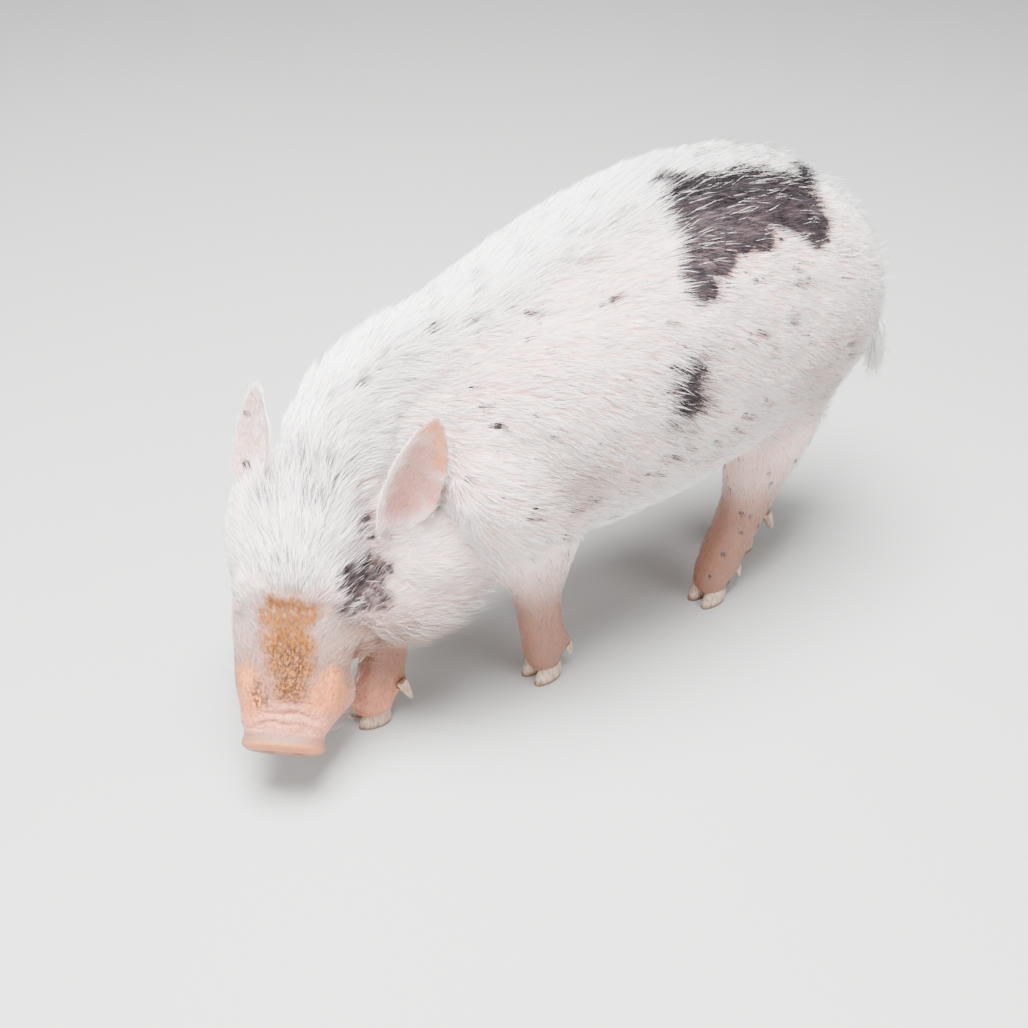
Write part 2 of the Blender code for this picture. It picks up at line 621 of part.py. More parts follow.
def build_ear(name):
    """A leaf-shaped blade: its front wall rolled over the cup, its rear wall spread, a round lobe below."""
    root, tip, opening, front_side = EARS[name]
    root, tip = in_head(*root), in_head(*tip)
    axis = (tip - root).normalized()
    opening = HEAD_TURN @ opening
    opening = (opening - axis * opening.dot(axis)).normalized()
    across = axis.cross(opening)
    rings = []
    for s in np.linspace(0, 1, 11):
        half = max(0.05, (0.80 + 0.75 * s) * (1 - s**1.9) ** 0.80) * EAR_WIDTH / 2
        low = min(1, s / 0.24)
        front_lobe, rear_lobe = 0.55 + 0.30 * low, 0.40 + 0.60 * low
        wall = EAR_ROOT_WALL + (EAR_TIP_WALL - EAR_ROOT_WALL) * s
        floor = root.lerp(tip, s) - opening * (4 * EAR_BOW * s * (1 - s))
        inner, outer = [], []
        for t in np.linspace(-1, 1, 8):
            in_front = t * front_side > 0
            curl = 1.85 - 1.05 * s**0.7 if in_front else 1.05 - 0.45 * s
            reach = half * (front_lobe if in_front else rear_lobe)
            radius = reach / math.sin(min(curl, math.pi / 2))
            spoke = across * math.sin(t * curl) - opening * math.cos(t * curl)
            skin = floor + (opening + spoke) * radius
            rim = 1 - 0.6 * abs(t) ** 3
            inner.append(tuple(skin - spoke * (wall * 0.3 * rim)))
            outer.append(tuple(skin + spoke * (wall * 0.7 * rim)))
        rings.append(np.array(inner + outer[::-1]))
    return loft("ear_" + name, rings, pig)


# Hoof: height, reach forward and back as shares of its length, half width as a share of its width
HOOF_ROWS = [(0, 0.56, -0.44, 0.50), (0.35, 0.50, -0.45, 0.52), (0.75, 0.38, -0.44, 0.49),
             (1, 0.28, -0.40, 0.42)]


def build_hoof(name, side):
    """One horn toe: flat sole, sloping front wall and rounded heel."""
    place, forward, left = foot_axes(name)
    middle = place + left * (side * (HOOF_WIDTH / 2 + 0.0007))
    rings = []
    for up, front, back, half in HOOF_ROWS:
        ring = []
        for step in np.linspace(0, 2 * math.pi, 14, endpoint=False):
            reach = math.cos(step)
            along = (front if reach > 0 else -back) * reach * HOOF_LENGTH
            wide = half * HOOF_WIDTH * math.copysign(abs(math.sin(step)) ** 0.75, math.sin(step))
            wide *= 1 - 0.25 * max(reach, 0) ** 2
            ring.append(tuple(middle + forward * along + left * wide + Vector((0, 0, up * HOOF_HEIGHT))))
        rings.append(np.array(ring))
    part = "outer" if (side > 0) == name.endswith("left") else "inner"
    return loft(f"hoof_{name}_{part}", rings, pig)


def build_dewclaw(name, side):
    """A small horn cone behind the fetlock, pointing down and back."""
    place, forward, left = foot_axes(name)
    root = dewclaw_root(name, side)
    tip = root - forward * 0.0065 + left * (side * 0.0020) + Vector((0, 0, -0.0180))
    keys = [(*root, 0.0042, 0.0042), (*root.lerp(tip, 0.55), 0.0036, 0.0034), (*tip, 0.0008, 0.0008)]
    rows = spline_rows(keys, 4)
    part = "outer" if (side > 0) == name.endswith("left") else "inner"
    run = (tip - root).normalized()
    across = run.cross(left).normalized()
    rings = [section(row[:3], across.cross(run), across, row[3], row[4], row[4], 2, 6) for row in rows]
    return loft(f"dewclaw_{name}_{part}", rings, pig)


# Where the flesh is parted. A leg's region is a wedge: its corners as x, y, z, floor first, then the top.
LEG_REGIONS = {
    "front_left": [(-0.0045, -0.112, -0.02), (-0.0045, -0.025, -0.02), (0.060, -0.112, -0.02),
                   (0.060, -0.025, -0.02), (0.000, -0.113, 0.130), (0.000, -0.060, 0.130),
                   (0.120, -0.135, 0.195), (0.120, -0.056, 0.195)],
    "front_right": [(0.000, -0.222, -0.02), (0.000, -0.142, -0.02), (-0.070, -0.222, -0.02),
                    (-0.070, -0.128, -0.02), (-0.028, -0.160, 0.130), (-0.028, -0.104, 0.130),
                    (-0.150, -0.155, 0.195), (-0.150, -0.072, 0.195)],
    "hind_left": [(-0.0035, 0.055, -0.02), (-0.0035, 0.150, -0.02), (0.060, 0.055, -0.02),
                  (0.060, 0.150, -0.02), (0.002, 0.078, 0.138), (0.002, 0.152, 0.138),
                  (0.120, 0.076, 0.205), (0.120, 0.190, 0.205)],
    "hind_right": [(-0.0045, 0.115, -0.02), (-0.0045, 0.210, -0.02), (-0.080, 0.115, -0.02),
                   (-0.080, 0.210, -0.02), (-0.026, 0.118, 0.138), (-0.026, 0.200, 0.138),
                   (-0.150, 0.100, 0.205), (-0.150, 0.205, 0.205)],
}
HALF_BOX = 0.5


def half_space(name, point, direction, off):
    """A big block that covers everything beyond a plane, moved along the direction by off."""
    direction = Vector(direction).normalized()
    turn = direction.to_track_quat("Z", "Y").to_matrix().to_4x4()
    shape = bmesh.new()
    bmesh.ops.create_cube(shape, size=2 * HALF_BOX)
    place = Matrix.Translation(Vector(point) + direction * (HALF_BOX + off)) @ turn
    bmesh.ops.transform(shape, matrix=place, verts=shape.verts)
    return add_object(name, shape)


def take(flesh, name, region):
    """The part of the flesh inside a region, as a named piece."""
    piece = copy_of(flesh, name, pig)
    combine(piece, region, "INTERSECT")
    keep_largest(piece)
    return piece


def remove_all(collection):
    for old in list(collection.objects):
        bpy.data.objects.remove(old)


remove_all(bpy.data)
pig = collection_named("pot_bellied_pig")
cutters = collection_named("cores_and_cutters")
cutters.hide_render = True

# One skin over the whole body, and a finer one over the head and neck
head_core, crest_core = build_head(), build_crest()
neck_cores = [build_neck(), build_neck_side(), build_brisket(), build_jowl()]
cores = [build_torso(), head_core, *neck_cores, crest_core, *build_leg_cores()]
body_flesh = fuse("body_flesh", cores, BODY_VOXEL, 0.0085)
head_flesh = fuse("head_flesh", [head_core, *neck_cores, crest_core], HEAD_VOXEL, 0.0035)
sculpt_face(head_flesh)
thin_out(body_flesh, BODY_TRIANGLES)
locks = collection_named("locks")
build_crest_locks(body_flesh, locks)
combine(body_flesh, locks, "UNION")
keep_largest(body_flesh)

# Head and neck part behind the ears, neck and torso in front of the shoulders
HEAD_CUT = in_head(0.158, 0.058, 0.030)
HEAD_CUT_DIRECTION = Vector((-0.56, 0.72, 0.38)).normalized()
HEAD_SPARE = 0.010   # flesh kept beyond the cut until the head is thinned out
NECK_CUT = WITHERS.lerp(POLL, 0.42)
NECK_CUT_DIRECTION = (WITHERS - POLL).normalized()

head = copy_of(head_flesh, "head", pig)
combine(head, half_space("well_beyond_head", HEAD_CUT, HEAD_CUT_DIRECTION, HEAD_SPARE), "DIFFERENCE")
thin_out(head, HEAD_TRIANGLES)
combine(head, locks, "UNION")
remove_all(locks)
combine(head, half_space("beyond_head", HEAD_CUT, HEAD_CUT_DIRECTION, -GAP / 2), "DIFFERENCE")
combine(head, half_space("beyond_neck", NECK_CUT, NECK_CUT_DIRECTION, -GAP / 2), "DIFFERENCE")
keep_largest(head)

neck = copy_of(body_flesh, "neck", pig)
combine(neck, half_space("behind_head", HEAD_CUT, -HEAD_CUT_DIRECTION, -GAP / 2), "DIFFERENCE")
combine(neck, half_space("behind_neck", NECK_CUT, NECK_CUT_DIRECTION, -GAP / 2), "DIFFERENCE")

torso = copy_of(body_flesh, "torso", pig)
combine(torso, half_space("before_torso", NECK_CUT, -NECK_CUT_DIRECTION, -GAP / 2), "DIFFERENCE")
legs = []
for leg_name, corners in LEG_REGIONS.items():
    region = hull("region_" + leg_name, corners)
    legs.append((leg_name, take(body_flesh, "leg_" + leg_name, region)))
    wider = swollen(region, "wider_" + leg_name, GAP)
    combine(torso, wider, "DIFFERENCE")
    combine(neck, wider, "DIFFERENCE")
    combine(head, wider, "DIFFERENCE")
for piece in (neck, torso, head):
    keep_largest(piece)

tail_cores = [tube("tail_core", TAIL, 18, 12), tube("switch_core", TAIL_SWITCH, 12, 12)]
tail = fuse("tail", tail_cores, TAIL_VOXEL, 0.0015)
pig.objects.link(tail)
cutters.objects.unlink(tail)
thin_out(tail, TAIL_TRIANGLES)
switch_locks = collection_named("switch_locks")
build_switch_locks(switch_locks)
combine(tail, switch_locks, "UNION")
remove_all(switch_locks)
combine(tail, swollen(torso, "torso_and_gap"), "DIFFERENCE")
keep_largest(tail)

head_and_gap = swollen(head, "head_and_gap", EAR_GAP)
neck_and_gap = swollen(neck, "neck_and_gap", EAR_GAP)
for ear_name in EARS:
    ear = build_ear(ear_name)
    combine(ear, head_and_gap, "DIFFERENCE")
    combine(ear, neck_and_gap, "DIFFERENCE")
    keep_largest(ear)

seats = [eye_seat(head, side) for side in (1, -1)]
cut_face_openings(head, seats)
keep_largest(head)
for side_name, (centre, turn) in zip(("left", "right"), seats):
    eye = blob("eye_" + side_name, centre, [EYE_RADIUS] * 3, turn, 8)
    cutters.objects.unlink(eye)
    pig.objects.link(eye)

for leg_name, leg in legs:
    for side in (-1, 1):
        hoof = build_hoof(leg_name, side)
        combine(leg, swollen(hoof, "hoof_and_gap", GAP), "DIFFERENCE")
    keep_largest(leg)
    for side in (-1, 1):
        claw = build_dewclaw(leg_name, side)
        combine(claw, swollen(leg, "leg_and_gap"), "DIFFERENCE")
        keep_largest(claw)

remove_all(cutters)

# The origin is the middle of the bounding box's floor
corners = np.array([corner.co for piece in pig.objects for corner in piece.data.vertices])
middle = (corners.min(axis=0) + corners.max(axis=0)) / 2
FLOOR_SHIFT = -Vector((middle[0], middle[1], corners[:, 2].min()))
for piece in pig.objects:
    piece.data.transform(Matrix.Translation(FLOOR_SHIFT))
for piece in pig.objects:
    kind = EYE if piece.name.startswith("eye") else HORN if piece.name.startswith(("hoof", "dew")) else SKIN
    piece.data.materials.clear()
    piece.data.materials.append(material(*kind))
    piece.data.shade_smooth()
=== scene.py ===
"""A young pot-bellied pig as a life-size still figure: skin, eyes, horn and bristle coat."""

import math

import bmesh
import bpy
import numpy as np
from mathutils import Matrix, Vector
from mathutils.bvhtree import BVHTree


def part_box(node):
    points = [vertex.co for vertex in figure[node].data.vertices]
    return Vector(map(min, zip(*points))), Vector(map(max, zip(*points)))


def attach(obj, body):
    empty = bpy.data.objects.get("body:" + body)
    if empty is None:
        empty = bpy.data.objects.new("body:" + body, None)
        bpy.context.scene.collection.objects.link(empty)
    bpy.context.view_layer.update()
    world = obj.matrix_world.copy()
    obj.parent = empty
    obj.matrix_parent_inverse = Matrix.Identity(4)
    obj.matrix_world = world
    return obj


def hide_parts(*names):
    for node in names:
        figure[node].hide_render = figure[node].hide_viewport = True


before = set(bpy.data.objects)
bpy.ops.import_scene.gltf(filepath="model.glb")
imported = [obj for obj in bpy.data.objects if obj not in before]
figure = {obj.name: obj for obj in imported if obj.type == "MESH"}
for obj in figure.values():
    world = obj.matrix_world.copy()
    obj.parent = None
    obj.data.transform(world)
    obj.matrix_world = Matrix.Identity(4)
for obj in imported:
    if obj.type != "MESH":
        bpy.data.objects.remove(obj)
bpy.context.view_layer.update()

# Skin. The hide of a young pig: thin, pink and finely creased, one sheet from the snout to the tail.
# It is pressed from the flesh nodes, whose cuts close, and set in from them by the depth of the coat.
FLESH = ("head", "neck", "torso", "tail", "leg_front_left", "leg_front_right",
         "leg_hind_left", "leg_hind_right", "ear_left", "ear_right")
TRUNK = ("head", "neck", "torso")
LEGS = FLESH[4:8]
EARS = FLESH[8:]
HOME = Vector((0.0125, 0.0162, 0))  # where the middle between the four feet lies
SNOUT_TIP = HOME + Vector((0.010, -0.260, 0.0485))
BACKWARD = Vector((-0.41606, 0.39482, 0.81915))   # the head's own axes: snout to poll,
LEFTWARD = Vector((0.57472, 0.81227, -0.09960))   # its left,
CROWNWARD = Vector((0.70470, -0.42934, 0.56486))  # and up out of the forehead
HEAD_TURN = Matrix((BACKWARD, LEFTWARD, CROWNWARD)).transposed()
SPINE_X = HOME.x - 0.012
CREST = [HOME + Vector(place) for place in (
    (-0.0126, -0.2290, 0.1710), (-0.0204, -0.2209, 0.1924), (-0.0408, -0.1735, 0.2626),
    (-0.0173, -0.0900, 0.3048), (-0.0138, -0.0400, 0.3276), (-0.0123, 0.0200, 0.3438),
    (-0.0120, 0.0800, 0.3446), (-0.0120, 0.1200, 0.3355))]
CREST_REACH = 0.046
EYE_MIDDLE = (0.0895, 0.0400, 0.0175)   # backward, leftward and crownward from the snout's tip
LID_RINGS = (
    # radius round the eye, width, rise
    (0.0098, 0.0022, 0.0010), (0.0145, 0.0016, -0.0007), (0.0190, 0.0014, -0.0004))
BROW = (0.1000, 0.0235, 0.0365)
BROW_REACH = 0.0075
BROW_RISE = 0.0024
NOSE_WRINKLES = ((0.0120, 0.0017, 310), (0.0185, 0.0016, -240), (0.0260, 0.0011, 190))  # place, depth, waves
NECK_HOLLOW = [HOME + Vector(place) for place in (
    (-0.001, -0.128, 0.281), (-0.001, -0.143, 0.267), (0.000, -0.154, 0.251), (-0.001, -0.164, 0.230),
    (0.016, -0.155, 0.190), (0.040, -0.134, 0.182), (0.050, -0.128, 0.160), (0.036, -0.135, 0.125))]
EAR_ROOT = HOME + Vector((0.0138, -0.1750, 0.1880))
EAR_CLEARANCE = Vector((0.0026, -0.0018, 0.0024))   # keeps the ear's rear rim off the shoulder
EAR_FIRM = 0.012                    # up to here from its root the ear stays in place
EAR_EASE = 0.030
SEAM_CLOSURE = 0.00045
SKIN_VOXEL = 0.00135
SKIN_TRIANGLES = 186000
LOCK_THINNESS = 0.0052
SWITCH_TOP = 0.196                  # the tail's tuft begins here


def in_head(back, left, crown):
    return SNOUT_TIP + HEAD_TURN @ Vector((back, left, crown))


def points_and_normals(mesh):
    places = np.empty(len(mesh.vertices) * 3)
    normals = np.empty(len(mesh.vertices) * 3)
    mesh.vertices.foreach_get("co", places)
    mesh.vertices.foreach_get("normal", normals)
    return places.reshape(-1, 3), normals.reshape(-1, 3)


def place_points(mesh, places):
    mesh.vertices.foreach_set("co", np.ascontiguousarray(places).ravel())
    mesh.update()


def settle(piece):
    """Turn a piece's modifiers into its mesh."""
    graph = bpy.context.evaluated_depsgraph_get()
    graph.update()
    old = piece.data
    piece.data = bpy.data.meshes.new_from_object(piece.evaluated_get(graph))
    piece.modifiers.clear()
    bpy.data.meshes.remove(old)


def new_piece(name, shape):
    """A piece from a bmesh, in the scene, with smooth shading."""
    mesh = bpy.data.meshes.new(name)
    shape.to_mesh(mesh)
    shape.free()
    mesh.shade_smooth()
    piece = bpy.data.objects.new(name, mesh)
    bpy.context.scene.collection.objects.link(piece)
    return piece


def merged_copy(node):
    """A node's mesh with its loose triangles joined."""
    shape = bmesh.new()
    shape.from_mesh(figure[node].data)
    bmesh.ops.remove_doubles(shape, verts=shape.verts, dist=1e-6)
    return shape


def line_distance(places, line):
    """Each place's distance to a bent line."""
    nearest = np.full(len(places), np.inf)
    for start, end in zip(line, line[1:]):
        start, run = np.asarray(start), np.asarray(end - start)
        share = np.clip((places - start) @ run / (run @ run), 0, 1)
        nearest = np.minimum(nearest, np.linalg.norm(places - start - share[:, None] * run, axis=1))
    return nearest


def press_locks(shape, node):
    """Lay the solids' wide locks down onto the skin they grow from."""
    bmesh.ops.triangulate(shape, faces=shape.faces)
    tree = BVHTree.FromBMesh(shape)
    places = np.array([vert.co for vert in shape.verts])
    near = line_distance(places, CREST) < CREST_REACH
    if node == "tail":
        near = places[:, 2] < SWITCH_TOP
    locks = set()
    for vert in shape.verts:
        if near[vert.index]:
            hit = tree.ray_cast(vert.co - vert.normal * 1e-5, -vert.normal)
            if hit[3] is not None and hit[3] < LOCK_THINNESS:
                locks.add(vert)
    locks |= {vert for vert in shape.verts if near[vert.index]
              and all(locks & set(face.verts) for face in vert.link_faces)}
    solid = [face for face in shape.faces if not locks & set(face.verts)]
    corners = {vert: i for i, vert in enumerate({vert for face in solid for vert in face.verts})}
    faces = [[corners[vert] for vert in face.verts] for face in solid]
    skin_tree = BVHTree.FromPolygons([vert.co for vert in corners], faces)
    for vert in locks:
        vert.co = skin_tree.find_nearest(vert.co)[0]


def join_flesh():
    """All flesh nodes in one mesh, each swollen a little so that the cuts between them close."""
    joined = bmesh.new()
    for node in FLESH:
        shape = merged_copy(node)
        if node in TRUNK + ("tail",):
            press_locks(shape, node)
        shape.normal_update()
        for vert in shape.verts:
            vert.co += vert.normal * SEAM_CLOSURE
            if node == "ear_left":
                reach = ((vert.co - EAR_ROOT).length - EAR_FIRM) / EAR_EASE
                vert.co += EAR_CLEARANCE * min(1.0, max(0.0, reach))
        part = bpy.data.meshes.new("part")
        shape.to_mesh(part)
        shape.free()
        joined.from_mesh(part)
        bpy.data.meshes.remove(part)
    return new_piece("skin", joined)


def add_modifier(piece, kind, **values):
    modifier = piece.modifiers.new(kind.lower(), kind)
    for name, value in values.items():
        setattr(modifier, name, value)
    return modifier


def edge_pairs(mesh):
    pairs = np.empty(len(mesh.edges) * 2, np.int32)
    mesh.edges.foreach_get("vertices", pairs)
    return pairs.reshape(-1, 2)


def spread(values, pairs, rounds):
    """Even out values over the skin, each vertex taking the mean of its neighbours."""
    count = np.bincount(pairs.ravel(), minlength=len(values))[:, None] + 1
    for _ in range(rounds):
        total = values.copy()
        for axis in range(values.shape[1]):
            total[:, axis] += np.bincount(pairs[:, 0], values[pairs[:, 1], axis], len(values))
            total[:, axis] += np.bincount(pairs[:, 1], values[pairs[:, 0], axis], len(values))
        values = total / count
    return values


def fill_hollows(piece, pairs, share, rounds):
    """Raise the skin where it lies below its own wider course, and leave it where it stands above."""
    places, normals = points_and_normals(piece.data)
    move = spread(places, pairs, rounds) - places
    share = share * ramp((move * normals).sum(axis=1), -0.0004, 0.0004)
    place_points(piece.data, places + move * spread(share[:, None], pairs, 6))


def nearest_nodes(places):
    """The flesh node on whose surface each place lies, as its number in FLESH."""
    corners, faces, owners = [], [], []
    for number, node in enumerate(FLESH):
        mesh = figure[node].data
        start = len(corners)
        corners.extend(points_and_normals(mesh)[0].tolist())
        faces.extend([start + corner for corner in face.vertices] for face in mesh.polygons)
        owners.extend([number] * len(mesh.polygons))
    tree = BVHTree.FromPolygons(corners, faces)
    return np.array([owners[tree.find_nearest(place)[2]] for place in places])


def in_region(regions, *names):
    return np.isin(regions, [FLESH.index(name) for name in names])[:, None].astype(float)


# The lie, length and lift of the coat, known at each point of the skin: short on the face and feet,
# long on the nape and back, flat along the sides.
COAT = {
    # region: length, lift in degrees
    "head": (0.0062, 13), "neck": (0.0125, 22), "torso": (0.0115, 16), "tail": (0.0060, 14),
    "leg_front_left": (0.0058, 12), "leg_front_right": (0.0058, 12),
    "leg_hind_left": (0.0058, 12), "leg_hind_right": (0.0058, 12),
    "ear_left": (0.0050, 16), "ear_right": (0.0058, 18),
}
CREST_LENGTH = 0.0180
CREST_LIFT = 15


def ramp(values, low, high):
    share = np.clip((values - low) / (high - low), 0, 1)
    return share * share * (3 - 2 * share)


def coat_sizes(places, regions):
    """Length and lift in degrees of the coat at each place."""
    sizes = np.array([COAT[node] for node in FLESH], float)[regions]
    head = (places - np.asarray(SNOUT_TIP)) @ np.asarray(HEAD_TURN)
    back, left, crown = head.T
    on_head = in_region(regions, "head")[:, 0]
    muzzle = 1 - ramp(back, 0.012, 0.085)
    cheek = ramp(back, 0.085, 0.125) * ramp(np.abs(left) - 0.4 * crown, 0.020, 0.045)
    sizes[:, 0] += on_head * (-0.0036 * muzzle + 0.0040 * cheek + 0.0035 * ramp(back, 0.115, 0.150))
    off_eye = np.linalg.norm(np.stack([back, np.abs(left), crown], axis=1) - EYE_MIDDLE, axis=1)
    sizes[:, 0] *= 1 - 0.62 * on_head * (1 - ramp(off_eye, 0.007, 0.015))
    on_body = in_region(regions, *TRUNK)[:, 0]
    crest = (1 - ramp(line_distance(places, CREST), 0.012, 0.048)) * on_body
    sizes[:, 0] += crest * (CREST_LENGTH - sizes[:, 0])
    sizes[:, 1] += crest * (CREST_LIFT - sizes[:, 1])
    on_leg = in_region(regions, *LEGS)[:, 0]
    above_foot = ramp(places[:, 2], 0.02, 0.075)
    near_body = ramp(places[:, 2], 0.09, 0.14)
    sizes[:, 0] += on_leg * (-0.0022 * (1 - above_foot) + 0.0030 * near_body)
    return sizes


def unit(vectors):
    return vectors / np.maximum(np.linalg.norm(vectors, axis=1, keepdims=True), 1e-9)


def coat_lie(places, normals, regions, pairs):
    """The direction in which the bristles lie, along the skin."""
    side = (places[:, 0] - SPINE_X) / 0.09
    lie = np.zeros_like(places)
    body = np.stack([0.10 * side, np.ones(len(side)), -0.20 - 0.42 * side**2], axis=1)
    lie += in_region(regions, "torso") * body
    head = (places - np.asarray(SNOUT_TIP)) @ np.asarray(HEAD_TURN)
    flank = np.clip(head[:, 1] / 0.045, -1, 1)[:, None]
    aft = ramp(head[:, 0], 0.02, 0.12)[:, None]
    face = np.asarray(BACKWARD) * (1.15 - 0.55 * aft * np.abs(flank))
    down = np.asarray(CROWNWARD) * 0.55 * aft * np.abs(flank)
    face = face + np.asarray(LEFTWARD) * (0.35 + 0.35 * aft) * flank - down
    lie += in_region(regions, "head") * face
    nape = np.array([0.16, 0.75, 0.22]) + np.outer(side, (0.35, 0.0, -0.7))
    lie += in_region(regions, "neck") * nape
    lie += in_region(regions, *LEGS) * np.array([0.0, 0.28, -1.0])
    lie += in_region(regions, "tail") * np.array([0.12, 0.12, -1.0])
    lie += in_region(regions, "ear_left") * np.asarray(HEAD_TURN @ Vector((0.065, 0.033, 0.047))) * 12
    lie += in_region(regions, "ear_right") * np.asarray(HEAD_TURN @ Vector((0.069, 0.001, 0.030))) * 12
    lie = spread(lie, pairs, 26)
    lie -= normals * (lie * normals).sum(axis=1, keepdims=True)
    return unit(lie)


def bell(distance):
    return np.exp(-(distance**2))


def shape_face(places, normals):
    """Lids, brow and nose folds, and the creases round the mouth, raised or sunk in the skin."""
    head = (places - np.asarray(SNOUT_TIP)) @ np.asarray(HEAD_TURN)
    back, left, crown = head.T
    swell = np.zeros(len(places))
    for sign in (1, -1):
        eye = in_head(EYE_MIDDLE[0], sign * EYE_MIDDLE[1], EYE_MIDDLE[2])
        off = np.linalg.norm(places - np.asarray(eye), axis=1)
        for radius, width, rise in LID_RINGS:
            swell += rise * bell((off - radius) / width)
        brow = np.stack([back - BROW[0], left - sign * BROW[1], crown - BROW[2]], axis=1)
        swell += BROW_RISE * bell(np.linalg.norm(brow, axis=1) / BROW_REACH)
    top = ramp(crown, 0.004, 0.014)
    disc_rim = bell((back - 0.30 * crown + 0.0030) / 0.0026)
    behind_disc = top * bell((back - 0.0095) / 0.0028)
    muzzle_sides = ramp(np.abs(left), 0.012, 0.022) * bell((back - 0.011) / 0.006)
    swell += 0.0008 * disc_rim - 0.0004 * behind_disc + 0.0022 * muzzle_sides
    for place, depth, waves in NOSE_WRINKLES:
        bend = place + 0.003 * np.cos(left / 0.030 * math.pi)
        bend += 0.0013 * np.sin(left * waves + place * 900)
        fade = 0.65 + 0.35 * np.sin(left * 130 + place * 700)
        swell -= depth * fade * top * bell((back - bend) / 0.0017) * bell((left / 0.019) ** 2)
    over_disc = bell((back - 0.0150) / 0.0028)
    lumps = bell((left - 0.006) / 0.006) + bell((left + 0.009) / 0.005)
    swell += 0.0012 * top * over_disc * lumps
    return places + normals * swell[:, None]


def press_skin():
    """The finished skin, set in under the coat by the coat's length and lift at its points."""
    skin = join_flesh()
    add_modifier(skin, "REMESH", mode="VOXEL", voxel_size=SKIN_VOXEL)
    add_modifier(skin, "SMOOTH", factor=0.5, iterations=5)
    settle(skin)
    places, normals = points_and_normals(skin.data)
    regions = nearest_nodes(places)
    pairs = edge_pairs(skin.data)
    above_sole = 1 - ramp(0.036 - places[:, 2], 0.0, 0.006)
    soft = in_region(regions, "torso", "neck", *LEGS) * above_sole[:, None]
    soft = np.maximum(soft, (line_distance(places, CREST) < 0.040)[:, None])
    soft = spread(soft, pairs, 8)
    eased = spread(places, pairs, 45)
    places = places + (eased - places) * soft
    on_crest = in_region(regions, *TRUNK) * (line_distance(places, CREST) < 0.034)[:, None]
    places += (spread(places, pairs, 70) - places) * spread(on_crest, pairs, 12)
    place_points(skin.data, places)
    beside = line_distance(places, NECK_HOLLOW) < 0.030
    beside = in_region(regions, *TRUNK) * beside[:, None]
    beside = spread(beside, pairs, 14)[:, 0]
    for rounds in (150, 150, 60):
        fill_hollows(skin, pairs, beside, rounds)
    places, normals = points_and_normals(skin.data)
    length, lift = spread(coat_sizes(places, regions), pairs, 14).T
    own = (places - np.asarray(SNOUT_TIP)) @ np.asarray(HEAD_TURN)
    furred = ramp(own[:, 0], 0.004, 0.030) * (1 - in_region(regions, *EARS)[:, 0])
    furred *= 1 - on_crest[:, 0]
    furred = spread(furred[:, None], pairs, 8)[:, 0]
    depth = 0.80 * length * np.sin(np.radians(lift)) * furred + SEAM_CLOSURE
    place_points(skin.data, places - normals * depth[:, None])
    places, normals = points_and_normals(skin.data)
    place_points(skin.data, shape_face(places, normals))
    share = SKIN_TRIANGLES / (2 * len(skin.data.polygons))
    add_modifier(skin, "DECIMATE", ratio=share, use_collapse_triangulate=True)
    add_modifier(skin, "TRIANGULATE")
    settle(skin)
    skin.data.shade_smooth()
    return skin


skin = press_skin()
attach(skin, "root")
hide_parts(*FLESH)


# Markings. What colours hide and bristles alike: slate patches on the loin, flank and round the left eye,
# small freckles, and the mud and rooting dirt of a pig that has had its nose in the ground.
LOIN_PATCH = [((0.025, 0.047, 0.3365), 0.0235), ((0.025, 0.075, 0.3365), 0.0215),
              ((0.030, 0.100, 0.3280), 0.0225), ((0.033, 0.114, 0.3210), 0.0185),
              ((0.043, 0.113, 0.3110), 0.0135), ((0.018, 0.027, 0.3400), 0.0195),
              ((0.042, 0.027, 0.3220), 0.0190), ((0.030, 0.018, 0.3320), 0.0115),
              ((0.047, 0.015, 0.3160), 0.0145), ((0.055, 0.012, 0.3060), 0.0110),
              ((0.008, 0.022, 0.3470), 0.0105),
              ((0.0444, 0.0648, 0.3233), 0.0125), ((0.0474, 0.0504, 0.3212), 0.0090),
              ((-0.0010, 0.0166, 0.3505), 0.0085), ((0.0099, 0.1255, 0.3320), 0.0125)]
FLANK_SPOT = [((0.0742, -0.0049, 0.2585), 0.0100), ((0.0765, -0.0045, 0.2430), 0.0115)]
RIGHT_PATCHES = [((-0.096, 0.062, 0.252), 0.020), ((-0.092, 0.082, 0.268), 0.016),
                 ((-0.094, -0.040, 0.215), 0.010)]
EYE_PATCH = [((0.0050, -0.1981, 0.1418), 0.0145), ((0.0080, -0.2020, 0.1335), 0.0125),
             ((0.0098, -0.1930, 0.1345), 0.0120), ((0.0025, -0.1900, 0.1465), 0.0125),
             ((0.0055, -0.2045, 0.1510), 0.0100)]
EYE_HAZE = [((0.0010, -0.1950, 0.1600), 0.0150), ((-0.0008, -0.1880, 0.1740), 0.0120),
            ((-0.0060, -0.1910, 0.1880), 0.0070), ((-0.0351, -0.2342, 0.1985), 0.0110),
            ((-0.0300, -0.2123, 0.2145), 0.0100), ((-0.0345, -0.2302, 0.2081), 0.0090),
            ((-0.0155, -0.2038, 0.2126), 0.0090), ((-0.0167, -0.2139, 0.2015), 0.0110)]
FACE_SPOTS = [((-0.0113, -0.1915, 0.2044), 0.0031), ((-0.0030, -0.1860, 0.1844), 0.0038),
              ((-0.0034, -0.1928, 0.1817), 0.0021), ((-0.0017, -0.1899, 0.1771), 0.0027),
              ((0.0094, -0.1767, 0.1725), 0.0023), ((-0.0014, -0.1837, 0.1700), 0.0024),
              ((0.0149, -0.1769, 0.1632), 0.0025), ((0.0116, -0.1805, 0.1517), 0.0038),
              ((-0.0622, -0.2318, 0.2068), 0.0030)]
